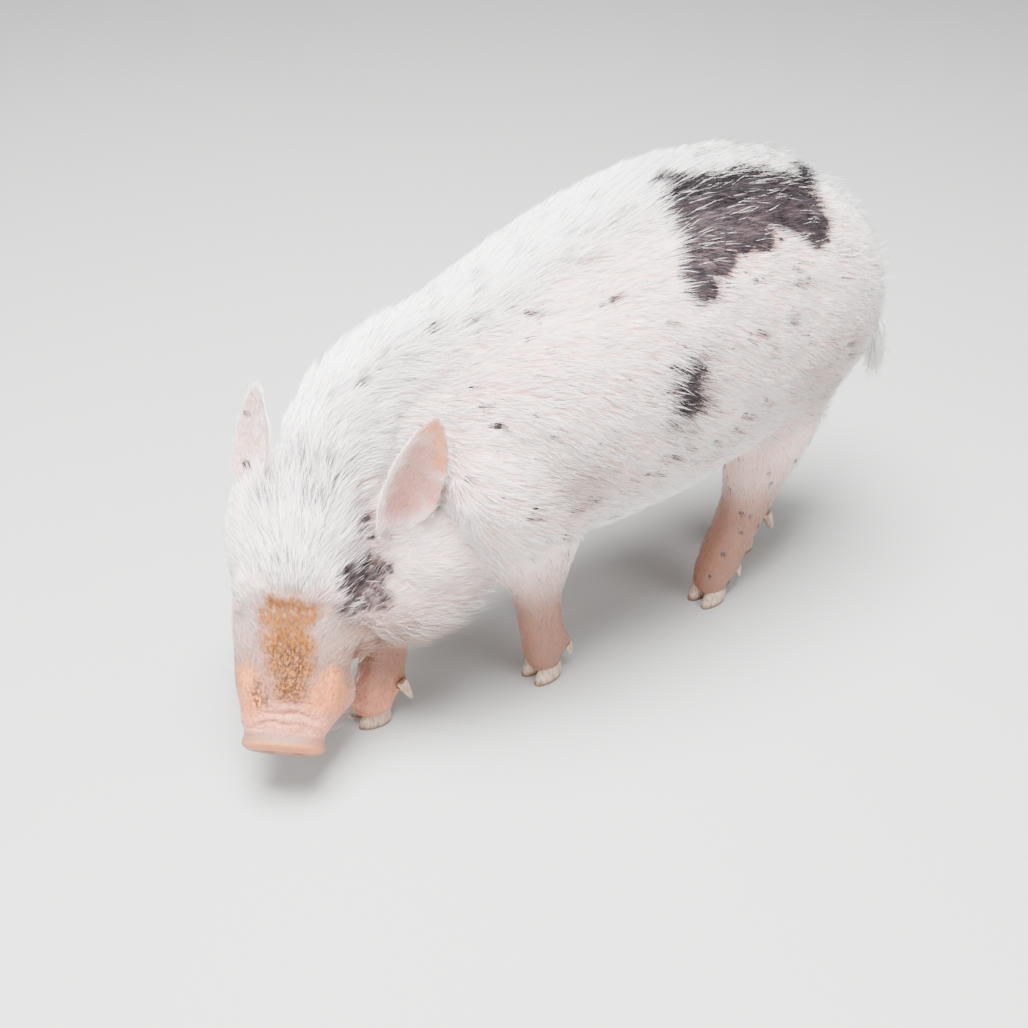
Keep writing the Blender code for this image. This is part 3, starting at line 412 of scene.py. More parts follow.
NOSE_MUD = [((-0.0100, -0.2460, 0.1420), 0.0065), ((-0.0030, -0.2390, 0.1400), 0.0080),
            ((-0.0090, -0.2480, 0.1320), 0.0110), ((0.0010, -0.2340, 0.1330), 0.0110),
            ((-0.0035, -0.2430, 0.1230), 0.0125), ((0.0015, -0.2470, 0.1070), 0.0110),
            ((-0.0058, -0.2507, 0.1137), 0.0105), ((0.0020, -0.2391, 0.1137), 0.0105),
            ((0.0010, -0.2521, 0.1007), 0.0090), ((0.0068, -0.2436, 0.1007), 0.0090),
            ((0.0092, -0.2512, 0.0907), 0.0095)]
NOSE_DIRT = [((0.0030, -0.2480, 0.1030), 0.0140), ((0.0092, -0.2512, 0.0907), 0.0110),
             ((-0.0010, -0.2690, 0.0850), 0.0085)]
BODY_STAINS = [((0.0640, -0.0790, 0.2000), 0.0220), ((0.0660, 0.1200, 0.2140), 0.0260),
               ((0.0640, 0.1400, 0.1950), 0.0220), ((0.0200, 0.2000, 0.2200), 0.0300),
               ((0.0620, 0.1500, 0.2240), 0.0200)]
MUZZLE_STAINS = [((0.0163, -0.2264, 0.0871), 0.0090), ((0.0196, -0.2260, 0.0745), 0.0100),
                 ((0.0180, -0.2370, 0.0770), 0.0080), ((-0.0032, -0.2735, 0.0790), 0.0090),
                 ((-0.0150, -0.2640, 0.0850), 0.0120)]
EAR_CUP = [((0.0094, -0.1686, 0.1990), 0.0130), ((0.0155, -0.1640, 0.2150), 0.0140),
           ((0.0220, -0.1580, 0.2320), 0.0120), ((0.0250, -0.1540, 0.2080), 0.0100)]
EAR_BLUSH = [((0.0310, -0.1558, 0.2595), 0.0125), ((0.0335, -0.1522, 0.2455), 0.0090),
             ((0.0330, -0.1520, 0.2300), 0.0080)]


def add_node(tree, kind, inputs=(), **settings):
    """A shader node with its settings, its inputs either values or sockets to link."""
    made = tree.nodes.new("ShaderNode" + kind)
    for name, value in settings.items():
        setattr(made, name, value)
    for socket, value in dict(inputs).items():
        if isinstance(value, bpy.types.NodeSocket):
            tree.links.new(value, made.inputs[socket])
        else:
            made.inputs[socket].default_value = value
    return made


def math_of(tree, operation, first, second=0.0, clamp=False):
    made = add_node(tree, "Math", {0: first, 1: second}, operation=operation, use_clamp=clamp)
    return made.outputs[0]


def vector_of(tree, operation, first, second):
    """A vector, or a number where the operation gives one."""
    made = add_node(tree, "VectorMath", {0: first, 1: second}, operation=operation)
    return made.outputs["Value" if operation in ("DISTANCE", "DOT_PRODUCT") else "Vector"]


def stretched(tree, vector, share):
    return add_node(tree, "VectorMath", {0: vector, "Scale": share}, operation="SCALE").outputs[0]


def cells_of(tree, place, scale, feature):
    return add_node(tree, "TexVoronoi", {"Vector": place, "Scale": scale}, feature=feature).outputs


def scaled(tree, mask, share):
    return math_of(tree, "MULTIPLY", mask, share)


def ramp_of(tree, value, low, high, bottom=0.0, top=1.0):
    inputs = {0: value, 1: low, 2: high, 3: bottom, 4: top}
    return add_node(tree, "MapRange", inputs, interpolation_type="SMOOTHSTEP").outputs[0]


def noise_of(tree, place, scale, detail=2.0, roughness=0.5):
    inputs = {"Vector": place, "Scale": scale, "Detail": detail, "Roughness": roughness}
    return add_node(tree, "TexNoise", inputs)


def spots_mask(tree, place, spots, edge):
    """One where a place lies in any of the round spots, zero outside them all."""
    nearest = None
    for centre, radius in spots:
        off = vector_of(tree, "DISTANCE", place, HOME + Vector(centre))
        off = math_of(tree, "DIVIDE", off, radius)
        nearest = off if nearest is None else math_of(tree, "MINIMUM", nearest, off)
    return ramp_of(tree, nearest, 1 + edge, 1 - edge)


def new_group(name, inputs, outputs):
    """An empty node group: its tree, and its input and output nodes."""
    tree = bpy.data.node_groups.new(name, "ShaderNodeTree")
    for label, kind in inputs:
        tree.interface.new_socket(label, in_out="INPUT", socket_type="NodeSocket" + kind)
    for label, kind in outputs:
        tree.interface.new_socket(label, in_out="OUTPUT", socket_type="NodeSocket" + kind)
    return tree, tree.nodes.new("NodeGroupInput"), tree.nodes.new("NodeGroupOutput")


def make_markings():
    """Masks of the pig's markings at a place on its skin."""
    names = ("Slate", "Haze", "Freckles", "Mud", "Dirt", "Stain", "Blush", "Cup", "Rooted", "Edge", "Low")
    masks = [(name, "Float") for name in names]
    tree, ins, outs = new_group("pig_markings", [("Place", "Vector")], masks)
    place = ins.outputs["Place"]
    wander = noise_of(tree, place, 95.0, 3.0, 0.6).outputs["Color"]
    wander = stretched(tree, vector_of(tree, "SUBTRACT", wander, (0.5, 0.5, 0.5)), 0.016)
    ragged = vector_of(tree, "ADD", place, wander)
    slate = spots_mask(tree, ragged, LOIN_PATCH, 0.16)
    for patch in (spots_mask(tree, ragged, FLANK_SPOT + RIGHT_PATCHES, 0.30),
                  scaled(tree, spots_mask(tree, ragged, EYE_PATCH, 0.38), 0.92),
                  scaled(tree, spots_mask(tree, place, FACE_SPOTS, 0.25), 0.96)):
        slate = math_of(tree, "MAXIMUM", slate, patch)
    around = [(centre, radius * 2.0) for centre, radius in FLANK_SPOT]
    haze = math_of(tree, "MAXIMUM", spots_mask(tree, ragged, EYE_HAZE, 0.55),
                   spots_mask(tree, ragged, around, 0.45))
    dots = cells_of(tree, place, 96.0, "F1")
    pick = add_node(tree, "SeparateColor", {0: dots["Color"]}).outputs[0]
    drift = noise_of(tree, place, 14.0, 2.0, 0.6).outputs[0]
    few = ramp_of(tree, drift, 0.30, 0.56, 0.88, 0.15)
    size = ramp_of(tree, pick, few, 1.0, 0.12, 0.30)
    dot = ramp_of(tree, math_of(tree, "SUBTRACT", size, dots["Distance"]), -0.01, 0.05)
    freckles = math_of(tree, "MULTIPLY", dot, math_of(tree, "GREATER_THAN", pick, few))
    off_face = vector_of(tree, "DISTANCE", place, SNOUT_TIP)
    freckles = math_of(tree, "MULTIPLY", freckles, ramp_of(tree, off_face, 0.19, 0.22))
    mud = spots_mask(tree, ragged, NOSE_MUD, 0.45)
    speck = noise_of(tree, place, 420.0, 4.0, 0.65).outputs[0]
    speck = ramp_of(tree, speck, 0.45, 0.52)
    dirt = math_of(tree, "MULTIPLY", spots_mask(tree, ragged, NOSE_DIRT, 0.5), speck)
    own = vector_of(tree, "SUBTRACT", place, SNOUT_TIP)
    back = vector_of(tree, "DOT_PRODUCT", own, BACKWARD)
    crown = vector_of(tree, "DOT_PRODUCT", own, CROWNWARD)
    front = math_of(tree, "SUBTRACT", back, scaled(tree, crown, 0.34))
    edge = ramp_of(tree, front, -0.0015, -0.0042)
    edge = math_of(tree, "MULTIPLY", edge, ramp_of(tree, crown, 0.003, 0.010))
    blush = spots_mask(tree, ragged, EAR_BLUSH + MUZZLE_STAINS, 0.5)
    freckles = math_of(tree, "SUBTRACT", freckles, blush, clamp=True)
    mottle = ramp_of(tree, noise_of(tree, place, 150.0, 3.0, 0.65).outputs[0], 0.42, 0.58)
    stain = math_of(tree, "MULTIPLY", spots_mask(tree, ragged, MUZZLE_STAINS, 0.6), mottle)
    soiled = scaled(tree, spots_mask(tree, ragged, BODY_STAINS, 0.6), 0.45)
    stain = math_of(tree, "MAXIMUM", stain, soiled)
    cup = spots_mask(tree, place, EAR_CUP, 0.5)
    rooted = ramp_of(tree, back, 0.046, 0.014)
    rooted = math_of(tree, "MULTIPLY", rooted, ramp_of(tree, front, 0.0015, 0.0050))
    height = add_node(tree, "SeparateXYZ", {0: place}).outputs["Z"]
    # Low: one near the ground. It darkens all that lies low, the legs most, partly their own brown and
    # partly painted shade under the body.
    low = ramp_of(tree, height, 0.165, 0.08)
    found = (slate, haze, freckles, mud, dirt, stain, blush, cup, rooted, edge, low)
    for name, mask in zip(names, found):
        tree.links.new(mask, outs.inputs[name])
    return tree


markings = make_markings()

HIDE_PINK = (0.72, 0.40, 0.36, 1)
HIDE_PALE = (0.84, 0.58, 0.53, 1)
HIDE_SLATE = (0.032, 0.022, 0.030, 1)
HIDE_HAZE = (0.30, 0.21, 0.22, 1)
HIDE_BROWN = (0.31, 0.115, 0.055, 1)
# Brown of the lower legs: partly their own colour, partly painted shade under the body.
LEG_BROWN_AND_SHADE = (0.21, 0.078, 0.040, 1)
CUP_PINK = (0.50, 0.18, 0.145, 1)
MUZZLE_PINK = (0.62, 0.22, 0.135, 1)
MUD_OCHRE = (0.30, 0.098, 0.008, 1)
DIRT_BROWN = (0.050, 0.020, 0.010, 1)
BLUSH_PEACH = (0.80, 0.24, 0.06, 1)


def mixed(tree, share, first, second):
    made = add_node(tree, "Mix", {0: share, 6: first, 7: second}, data_type="RGBA")
    return made.outputs[2]


def new_material(name):
    made = bpy.data.materials.new(name)
    made.use_nodes = True
    return made, made.node_tree, made.node_tree.nodes["Principled BSDF"]


def marks_at(tree, place):
    group = add_node(tree, "Group", node_tree=markings)
    tree.links.new(place, group.inputs["Place"])
    return group.outputs


def make_hide():
    """Pink hide: blotches, markings, pores and fine creases."""
    made, tree, shader = new_material("pig_hide")
    place = add_node(tree, "TexCoord").outputs["Object"]
    marks = marks_at(tree, place)
    blotch = noise_of(tree, place, 28.0, 4.0, 0.6).outputs[0]
    fine = noise_of(tree, place, 260.0, 3.0, 0.6).outputs[0]
    colour = mixed(tree, ramp_of(tree, blotch, 0.35, 0.68), HIDE_PINK, HIDE_PALE)
    # Darker brown toward the ground: partly the legs' own brown, partly painted shade under the body.
    colour = mixed(tree, scaled(tree, marks["Low"], 0.92), colour, LEG_BROWN_AND_SHADE)
    colour = mixed(tree, scaled(tree, marks["Rooted"], 0.85), colour, MUZZLE_PINK)
    colour = mixed(tree, scaled(tree, marks["Cup"], 0.75), colour, CUP_PINK)
    colour = mixed(tree, scaled(tree, marks["Stain"], 0.95), colour, HIDE_BROWN)
    colour = mixed(tree, scaled(tree, marks["Blush"], 0.75), colour, BLUSH_PEACH)
    colour = mixed(tree, scaled(tree, marks["Edge"], 0.45), colour, BLUSH_PEACH)
    colour = mixed(tree, scaled(tree, marks["Haze"], 0.65), colour, HIDE_HAZE)
    colour = mixed(tree, scaled(tree, marks["Freckles"], 0.90), colour, HIDE_SLATE)
    colour = mixed(tree, scaled(tree, marks["Slate"], 0.94), colour, HIDE_SLATE)
    mud = math_of(tree, "MULTIPLY", marks["Mud"], ramp_of(tree, fine, 0.15, 0.50))
    colour = mixed(tree, scaled(tree, mud, 0.92), colour, MUD_OCHRE)
    colour = mixed(tree, scaled(tree, marks["Dirt"], 0.85), colour, DIRT_BROWN)
    rough = ramp_of(tree, fine, 0.3, 0.7, 0.46, 0.62)
    rough = math_of(tree, "ADD", rough, scaled(tree, marks["Mud"], 0.22), clamp=True)
    tree.links.new(rough, shader.inputs["Roughness"])
    pores = cells_of(tree, place, 900.0, "F1")["Distance"]
    crease = cells_of(tree, place, 240.0, "DISTANCE_TO_EDGE")["Distance"]
    relief = math_of(tree, "ADD", scaled(tree, pores, 0.35), ramp_of(tree, crease, 0.0, 0.12, 0.0, 0.6))
    relief = math_of(tree, "ADD", relief, scaled(tree, fine, 0.9))
    crooked = noise_of(tree, place, 160.0, 2.0, 0.6).outputs["Color"]
    crooked = vector_of(tree, "ADD", place, stretched(tree, crooked, 0.007))
    cracks = cells_of(tree, crooked, 150.0, "DISTANCE_TO_EDGE")["Distance"]
    cracks = math_of(tree, "MULTIPLY", ramp_of(tree, cracks, 0.14, 0.0), marks["Rooted"])
    colour = mixed(tree, scaled(tree, cracks, 0.45), colour, HIDE_BROWN)
    tree.links.new(colour, shader.inputs["Base Color"])
    relief = math_of(tree, "SUBTRACT", relief, scaled(tree, cracks, 2.6))
    bump = add_node(tree, "Bump", {"Strength": 0.35, "Distance": 0.0006, "Height": relief})
    tree.links.new(bump.outputs[0], shader.inputs["Normal"])
    shader.inputs["Subsurface Weight"].default_value = 0.16
    shader.inputs["Subsurface Radius"].default_value = (0.006, 0.0025, 0.0015)
    shader.inputs["Subsurface Scale"].default_value = 1.0
    shader.inputs["Specular IOR Level"].default_value = 0.40
    return made


skin.data.materials.clear()
skin.data.materials.append(make_hide())

# Eyes. Small dark wet eyes, a brown iris close round a black pupil, set deep behind the lids.
# Each is a turned glossy ball, held in its socket by the skin around it.
EYE_RADIUS = 0.0085


def make_eye_material(name, gaze):
    made, tree, shader = new_material(name)
    place = add_node(tree, "TexCoord").outputs["Object"]
    off = vector_of(tree, "DISTANCE", place, gaze)
    rays = noise_of(tree, place, 900.0, 2.0, 0.6).outputs[0]
    iris = mixed(tree, ramp_of(tree, rays, 0.3, 0.7), (0.050, 0.022, 0.012, 1), (0.14, 0.065, 0.032, 1))
    colour = mixed(tree, ramp_of(tree, off, 0.0022, 0.0028), (0.004, 0.004, 0.004, 1), iris)
    colour = mixed(tree, ramp_of(tree, off, 0.0048, 0.0056), colour, (0.030, 0.018, 0.016, 1))
    tree.links.new(colour, shader.inputs["Base Color"])
    shader.inputs["Roughness"].default_value = 0.10
    shader.inputs["Coat Weight"].default_value = 1.0
    shader.inputs["Coat Roughness"].default_value = 0.03
    return made


def make_eye(side, sign):
    low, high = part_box("eye_" + side)
    centre = (low + high) / 2
    look = (HEAD_TURN @ Vector((-0.12, sign * 0.93, 0.36))).normalized()
    ball = bmesh.new()
    bmesh.ops.create_uvsphere(ball, u_segments=40, v_segments=24, radius=EYE_RADIUS)
    turn = look.to_track_quat("Z", "Y").to_matrix().to_4x4()
    bmesh.ops.transform(ball, matrix=Matrix.Translation(centre) @ turn, verts=ball.verts)
    eye = new_piece("eyeball_" + side, ball)
    eye.data.materials.append(make_eye_material("wet_eye_" + side, centre + look * EYE_RADIUS))
    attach(eye, "root")
    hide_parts("eye_" + side)
    return centre, look


eye_places = [make_eye("left", 1), make_eye("right", -1)]

# Hooves and dewclaws. Pale horn with growth rings, worn and dirty at the sole, one pair of toes
# and one pair of claws to a foot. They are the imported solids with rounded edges, and grow out of the skin.
HORN_PALE = (0.60, 0.43, 0.33, 1)
HORN_DARK = (0.30, 0.19, 0.13, 1)
FEET = ("front_left", "front_right", "hind_left", "hind_right")


def make_horn():
    made, tree, shader = new_material("worn_horn")
    place = add_node(tree, "TexCoord").outputs["Object"]
    height = add_node(tree, "SeparateXYZ", {0: place}).outputs["Z"]
    drift = noise_of(tree, place, 90.0, 2.0).outputs[0]
    level = math_of(tree, "ADD", scaled(tree, height, 2600.0), scaled(tree, drift, 9.0))
    rings = math_of(tree, "SINE", level)
    streak = add_node(tree, "Mapping", {"Vector": place, "Scale": (900, 900, 60)}).outputs[0]
    grain = noise_of(tree, streak, 1.0, 3.0).outputs[0]
    colour = mixed(tree, ramp_of(tree, grain, 0.35, 0.7), HORN_PALE, HORN_DARK)
    colour = mixed(tree, ramp_of(tree, height, 0.005, 0.0005, 0.0, 0.7), colour, DIRT_BROWN)
    tree.links.new(colour, shader.inputs["Base Color"])
    tree.links.new(ramp_of(tree, drift, 0.3, 0.7, 0.38, 0.58), shader.inputs["Roughness"])
    relief = math_of(tree, "ADD", scaled(tree, rings, 0.5), grain)
    bump = add_node(tree, "Bump", {"Strength": 0.4, "Distance": 0.0003, "Height": relief})
    tree.links.new(bump.outputs[0], shader.inputs["Normal"])
    return made


horn = make_horn()


def make_horn_piece(name, nodes):
    """The horn of the four feet, rounded from the solids it replaces."""
    joined = bmesh.new()
    for node in nodes:
        shape = merged_copy(node)
        part = bpy.data.meshes.new("part")
        shape.to_mesh(part)
        shape.free()
        joined.from_mesh(part)
        bpy.data.meshes.remove(part)
    sharp = [edge for edge in joined.edges if edge.calc_face_angle(0) > math.radians(50)]
    bmesh.ops.bevel(joined, geom=sharp, offset=0.0007, segments=3, profile=0.5, affect="EDGES",
                    material=-1, clamp_overlap=True)
    piece = new_piece(name, joined)
    piece.data.materials.append(horn)
    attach(piece, "root")
    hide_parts(*nodes)


make_horn_piece("hooves", [f"hoof_{foot}_{toe}" for foot in FEET for toe in ("inner", "outer")])
make_horn_piece("dewclaws", [f"dewclaw_{foot}_{toe}" for foot in FEET for toe in ("inner", "outer")])

# Coat. Stiff white bristles, each a tapering hair of three sides that leaves the skin at its own lift and
# bends over along the lie, dark where the markings are; they grow singly, in loose staggered tufts.
BRISTLE_WIDTH = 0.00030
ROOT_DEPTH = 0.0005
PATCH = 0.0015                # half of a bristle's patch on the bake map
BRISTLE_FACES = [(2, 1, 0), (0, 1, 4, 3), (1, 2, 5, 4), (2, 0, 3, 5), (3, 4, 6), (4, 5, 6), (5, 3, 6)]
BRISTLE_PATCH = [(-1, -1), (1, -1), (0, -0.4), (-0.8, 0.4), (0.8, 0.4), (0, 0.5), (0, 1)]
WHITE_HAIR = (0.95, 0.925, 0.91, 1)
CREAM_HAIR = (0.88, 0.81, 0.77, 1)
SLATE_HAIR = (0.010, 0.008, 0.010, 1)
GREY_HAIR = (0.13, 0.11, 0.12, 1)
TAN_HAIR = (0.36, 0.165, 0.085, 1)
# Brown bristles of the lower legs: partly their own colour, partly painted shade under the body.
LEG_HAIR_AND_SHADE = (0.25, 0.105, 0.055, 1)
PINK_HAIR = (0.74, 0.36, 0.27, 1)
OCHRE_HAIR = (0.36, 0.128, 0.010, 1)


def coat_fields():
    """All that a bristle needs to know, at each point of the finished skin."""
    places, normals = points_and_normals(skin.data)
    regions = nearest_nodes(places)
    pairs = edge_pairs(skin.data)
    lie = coat_lie(places, normals, regions, pairs)
    sizes = spread(coat_sizes(places, regions), pairs, 10)
    corners = np.empty(len(skin.data.polygons) * 3, np.int32)
    skin.data.polygons.foreach_get("vertices", corners)
    return places, normals, regions, lie, sizes, corners.reshape(-1, 3)


places, normals, regions, lie, sizes, triangles = coat_fields()


def swirl(roots, pitch):
    """A slow wandering value between -1 and 1, for tufts that lean together."""
    a = np.sin(roots @ (61, 113, 47) * pitch) + np.sin(roots @ (-97, 41, 83) * pitch + 1.3)
    return 0.5 * (a + np.sin(roots @ (53, -71, 131) * pitch + 2.1)) / 1.2


def grow(count, density, seed):
    """Roots spread over the skin by density, with the coat's direction and sizes there."""
    draw = np.random.default_rng(seed)
    a, b, c = (places[triangles[:, i]] for i in range(3))
    area = np.linalg.norm(np.cross(b - a, c - a), axis=1) * density[triangles].mean(axis=1)
    faces = np.sort(draw.choice(len(triangles), count, p=area / area.sum()))
    share = draw.random((count, 2))
    share = np.where(share.sum(axis=1, keepdims=True) > 1, 1 - share, share)
    weights = np.concatenate([1 - share.sum(axis=1, keepdims=True), share], axis=1)[:, :, None]
    pick = triangles[faces]
    length, lift = (sizes[pick] * weights).sum(axis=1).T
    return {"root": (places[pick] * weights).sum(axis=1),
            "normal": unit((normals[pick] * weights).sum(axis=1)),
            "lie": unit((lie[pick] * weights).sum(axis=1)),
            "length": length, "lift": np.radians(lift), "region": regions[pick[:, 0]]}


def chart(roots, region):
    """Each root's place on an unwrap of the skin: one tile for each part, wrapped round its own axis."""
    flat = np.zeros((len(roots), 2))
    for number, node in enumerate(FLESH):
        here = region == number
        low, high = (np.asarray(corner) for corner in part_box(node))
        middle, size = (low + high) / 2, high - low
        along = 1 if node == "torso" else 2
        first, second = (0, 2) if along == 1 else (0, 1)
        spot = roots[here] - middle
        turn = np.arctan2(spot[:, first], spot[:, second]) / (2 * math.pi) + 0.5
        climb = np.clip(spot[:, along] / size[along] + 0.5, 0, 1)
        column, row = number % 4, number // 4
        across = (column + 0.04 + 0.92 * turn) / 4
        upward = (row + 0.04 + 0.92 * climb) / 3
        flat[here] = np.stack([across, upward], axis=1)
    return flat


def store_on(mesh, name, kind, values):
    """Keep one value of each bristle on all of its points."""
    field = "value" if kind == "FLOAT" else "vector"
    made = mesh.attributes.new(name, kind, "POINT")
    made.data.foreach_set(field, np.repeat(values, len(BRISTLE_PATCH), axis=0).ravel())


def make_bristles(name, hairs, seed, width=BRISTLE_WIDTH, spread_angle=0.14, tones=(0.0, 1.0)):
    """One joined mesh of bristles, each with its root and its own tone stored on it."""
    draw = np.random.default_rng(seed)
    count = len(hairs["root"])
    root, normal = hairs["root"], hairs["normal"]
    length = hairs["length"] * draw.uniform(0.72, 1.22, count)
    turn = draw.normal(0, spread_angle, count) + 0.13 * swirl(root, 1.0) + 0.09 * swirl(root, 3.1)
    side = np.cross(normal, hairs["lie"])
    aim = hairs["lie"] * np.cos(turn)[:, None] + side * np.sin(turn)[:, None]
    side = np.cross(normal, aim)
    lift = hairs["lift"] * draw.uniform(0.75, 1.35, count) * (1 + 0.25 * swirl(root, 2.2))
    first = aim * np.cos(1.25 * lift)[:, None] + normal * np.sin(1.25 * lift)[:, None]
    second = aim * np.cos(0.55 * lift)[:, None] + normal * np.sin(0.55 * lift)[:, None]
    second = unit(second + side * draw.normal(0, 0.10, count)[:, None])
    start = root - first * ROOT_DEPTH
    middle = root + first * (0.48 * length)[:, None]
    tip = middle + second * (0.52 * length)[:, None]
    wide = width * draw.uniform(0.8, 1.2, count)
    points = np.empty((count, 7, 3))
    for i, angle in enumerate((math.pi / 2, math.pi * 7 / 6, math.pi * 11 / 6)):
        out = side * math.cos(angle) + normal * math.sin(angle)
        points[:, i] = start + out * (0.5 * wide)[:, None]
        points[:, 3 + i] = middle + out * (0.40 * wide)[:, None]
    points[:, 6] = tip
    corners = np.concatenate([face[::-1] for face in BRISTLE_FACES]).astype(np.int32)
    sizes_of_faces = np.array([len(face) for face in BRISTLE_FACES], np.int32)
    loops = (np.arange(count, dtype=np.int32)[:, None] * 7 + corners).ravel()
    mesh = bpy.data.meshes.new(name)
    mesh.vertices.add(count * 7)
    mesh.vertices.foreach_set("co", points.ravel())
    mesh.loops.add(len(loops))
    mesh.loops.foreach_set("vertex_index", loops)
    totals = np.tile(sizes_of_faces, count)
    mesh.polygons.add(len(totals))
    starts = np.concatenate([[0], np.cumsum(totals)[:-1]]).astype(np.int32)
    mesh.polygons.foreach_set("loop_start", starts)
    mesh.polygons.foreach_set("loop_total", totals)
    mesh.update(calc_edges=True)
    mesh.shade_smooth()
    store_on(mesh, "root", "FLOAT_VECTOR", root)
    store_on(mesh, "under", "FLOAT_VECTOR", normal)
    store_on(mesh, "tone", "FLOAT", draw.uniform(*tones, count))
    patch = np.array(BRISTLE_PATCH) * PATCH
    flat = (chart(root, hairs["region"])[:, None, :] + patch).reshape(-1, 2)
    mesh.uv_layers.new(name="OFBake").data.foreach_set("uv", flat[loops].ravel())
    piece = bpy.data.objects.new(name, mesh)
    bpy.context.scene.collection.objects.link(piece)
    mesh.materials.append(bristle_material)
    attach(piece, "root")
    return piece


def make_bristle_material():
    """White bristles, slate in the patches, a few grey among them as stray hairs and as painted shade in the
    coat's gaps, tan where the animal is soiled, brown low on the legs partly as painted shade.
    """
    made, tree, shader = new_material("white_bristle")
    root = add_node(tree, "Attribute", attribute_name="root").outputs["Vector"]
    tone = add_node(tree, "Attribute", attribute_name="tone").outputs["Fac"]
    marks = marks_at(tree, root)
    colour = mixed(tree, ramp_of(tree, tone, 0.45, 1.0, 0.0, 0.75), WHITE_HAIR, CREAM_HAIR)
    # Bristles turn brown toward the ground: partly the legs' own brown, partly painted shade under the body.
    colour = mixed(tree, scaled(tree, marks["Low"], 0.86), colour, LEG_HAIR_AND_SHADE)
    colour = mixed(tree, scaled(tree, marks["Rooted"], 0.75), colour, PINK_HAIR)
    colour = mixed(tree, scaled(tree, marks["Cup"], 0.60), colour, PINK_HAIR)
    colour = mixed(tree, scaled(tree, marks["Stain"], 0.60), colour, TAN_HAIR)
    colour = mixed(tree, scaled(tree, marks["Mud"], 0.95), colour, OCHRE_HAIR)
    colour = mixed(tree, scaled(tree, marks["Blush"], 0.70), colour, TAN_HAIR)
    colour = mixed(tree, scaled(tree, marks["Dirt"], 0.95), colour, DIRT_BROWN)
    # About one bristle in twenty is grey: partly stray grey hairs, partly painted shade for the shadowed
    # gaps between the coat's tufts.
    stray_and_shadow = math_of(tree, "LESS_THAN", tone, 0.045)
    hazed = math_of(tree, "LESS_THAN", tone, scaled(tree, marks["Haze"], 0.42))
    colour = mixed(tree, math_of(tree, "MAXIMUM", stray_and_shadow, hazed), colour, GREY_HAIR)
    freckled = scaled(tree, marks["Freckles"], 0.95)
    dark = math_of(tree, "MAXIMUM", scaled(tree, marks["Slate"], 0.95), freckled)
    dark = math_of(tree, "LESS_THAN", tone, dark)
    shade = mixed(tree, ramp_of(tree, tone, 0.45, 0.95, 0.0, 0.6), SLATE_HAIR, GREY_HAIR)
    colour = mixed(tree, dark, colour, shade)
    tree.links.new(colour, shader.inputs["Base Color"])
    under = add_node(tree, "Attribute", attribute_name="under").outputs["Vector"]
    own = add_node(tree, "NewGeometry").outputs["Normal"]
    both = vector_of(tree, "ADD", own, stretched(tree, under, 0.5))
    both = add_node(tree, "VectorMath", {0: both}, operation="NORMALIZE").outputs[0]
    tree.links.new(both, shader.inputs["Normal"])
    shader.inputs["Roughness"].default_value = 0.55
    shader.inputs["Specular IOR Level"].default_value = 0.18
    return made


bristle_material = make_bristle_material()
head_rows = (places - np.asarray(SNOUT_TIP)) @ np.asarray(HEAD_TURN)
disc_free = ramp(head_rows[:, 0], 0.001, 0.010)
socket_free = np.ones(len(places))
for centre, _ in eye_places:
    off = np.linalg.norm(places - np.asarray(centre), axis=1)
    socket_free *= ramp(off, EYE_RADIUS + 0.0004, EYE_RADIUS + 0.0016)
is_left = places[:, 0] > SPINE_X
is_fore = places[:, 1] < HOME.y + 0.035
on_head = in_region(regions, "head")[:, 0]
on_torso = in_region(regions, "torso")[:, 0]
on_crest = (1 - ramp(line_distance(places, CREST), 0.010, 0.036)) * in_region(regions, *TRUNK)[:, 0]
EAR_OPENINGS = {"ear_left": Vector((-0.30, 0.15, 0.92)), "ear_right": Vector((-0.15, -0.68, 0.72))}
in_cup = np.zeros(len(places))
for ear, opening in EAR_OPENINGS.items():
    in_cup += in_region(regions, ear)[:, 0] * ramp(normals @ np.asarray(HEAD_TURN @ opening), -0.1, 0.4)
ZONES = [
    # name, density over the skin, number of bristles, width
    ("coat_face", on_head * disc_free * socket_free, 19500, 0.00022),
    ("coat_neck", in_region(regions, "neck")[:, 0], 13500, 0.00030),
    ("coat_ears", in_region(regions, *EARS)[:, 0] * (1 - 0.70 * in_cup), 8500, 0.00018),
    ("coat_crest", on_crest, 15500, 0.00034),
    ("coat_left_fore", on_torso * is_left * is_fore, 18800, 0.00031),
    ("coat_left_hind", on_torso * is_left * ~is_fore, 18800, 0.00031),
    ("coat_right_fore", on_torso * ~is_left * is_fore, 18800, 0.00031),
    ("coat_right_hind", on_torso * ~is_left * ~is_fore, 18800, 0.00031),
    ("coat_legs", in_region(regions, *LEGS)[:, 0], 14500, 0.00026),
    ("coat_tail", in_region(regions, "tail")[:, 0], 1400, 0.00022),
]
for seed, (zone, density, count, width) in enumerate(ZONES):
    make_bristles(zone, grow(count, density, seed), 100 + seed, width)

# Long hairs. The tail's tuft, the white lashes, a few whiskers on the lips, and the stray hairs of the rump
# and throat: single bristles that stand further out of the skin than the coat.
def long_hairs(name, density, count, seed, length, lift, width, spread_angle, tones=(0.0, 1.0)):
    hairs = grow(count, density, seed)
    hairs["length"] = np.full(count, length)
    hairs["lift"] = np.full(count, math.radians(lift))
    return make_bristles(name, hairs, seed + 50, width, spread_angle, tones)


on_tail_end = in_region(regions, "tail")[:, 0] * (places[:, 2] < SWITCH_TOP - 0.002)
long_hairs("tail_tuft", on_tail_end, 900, 31, 0.021, 15, 0.00034, 0.22)

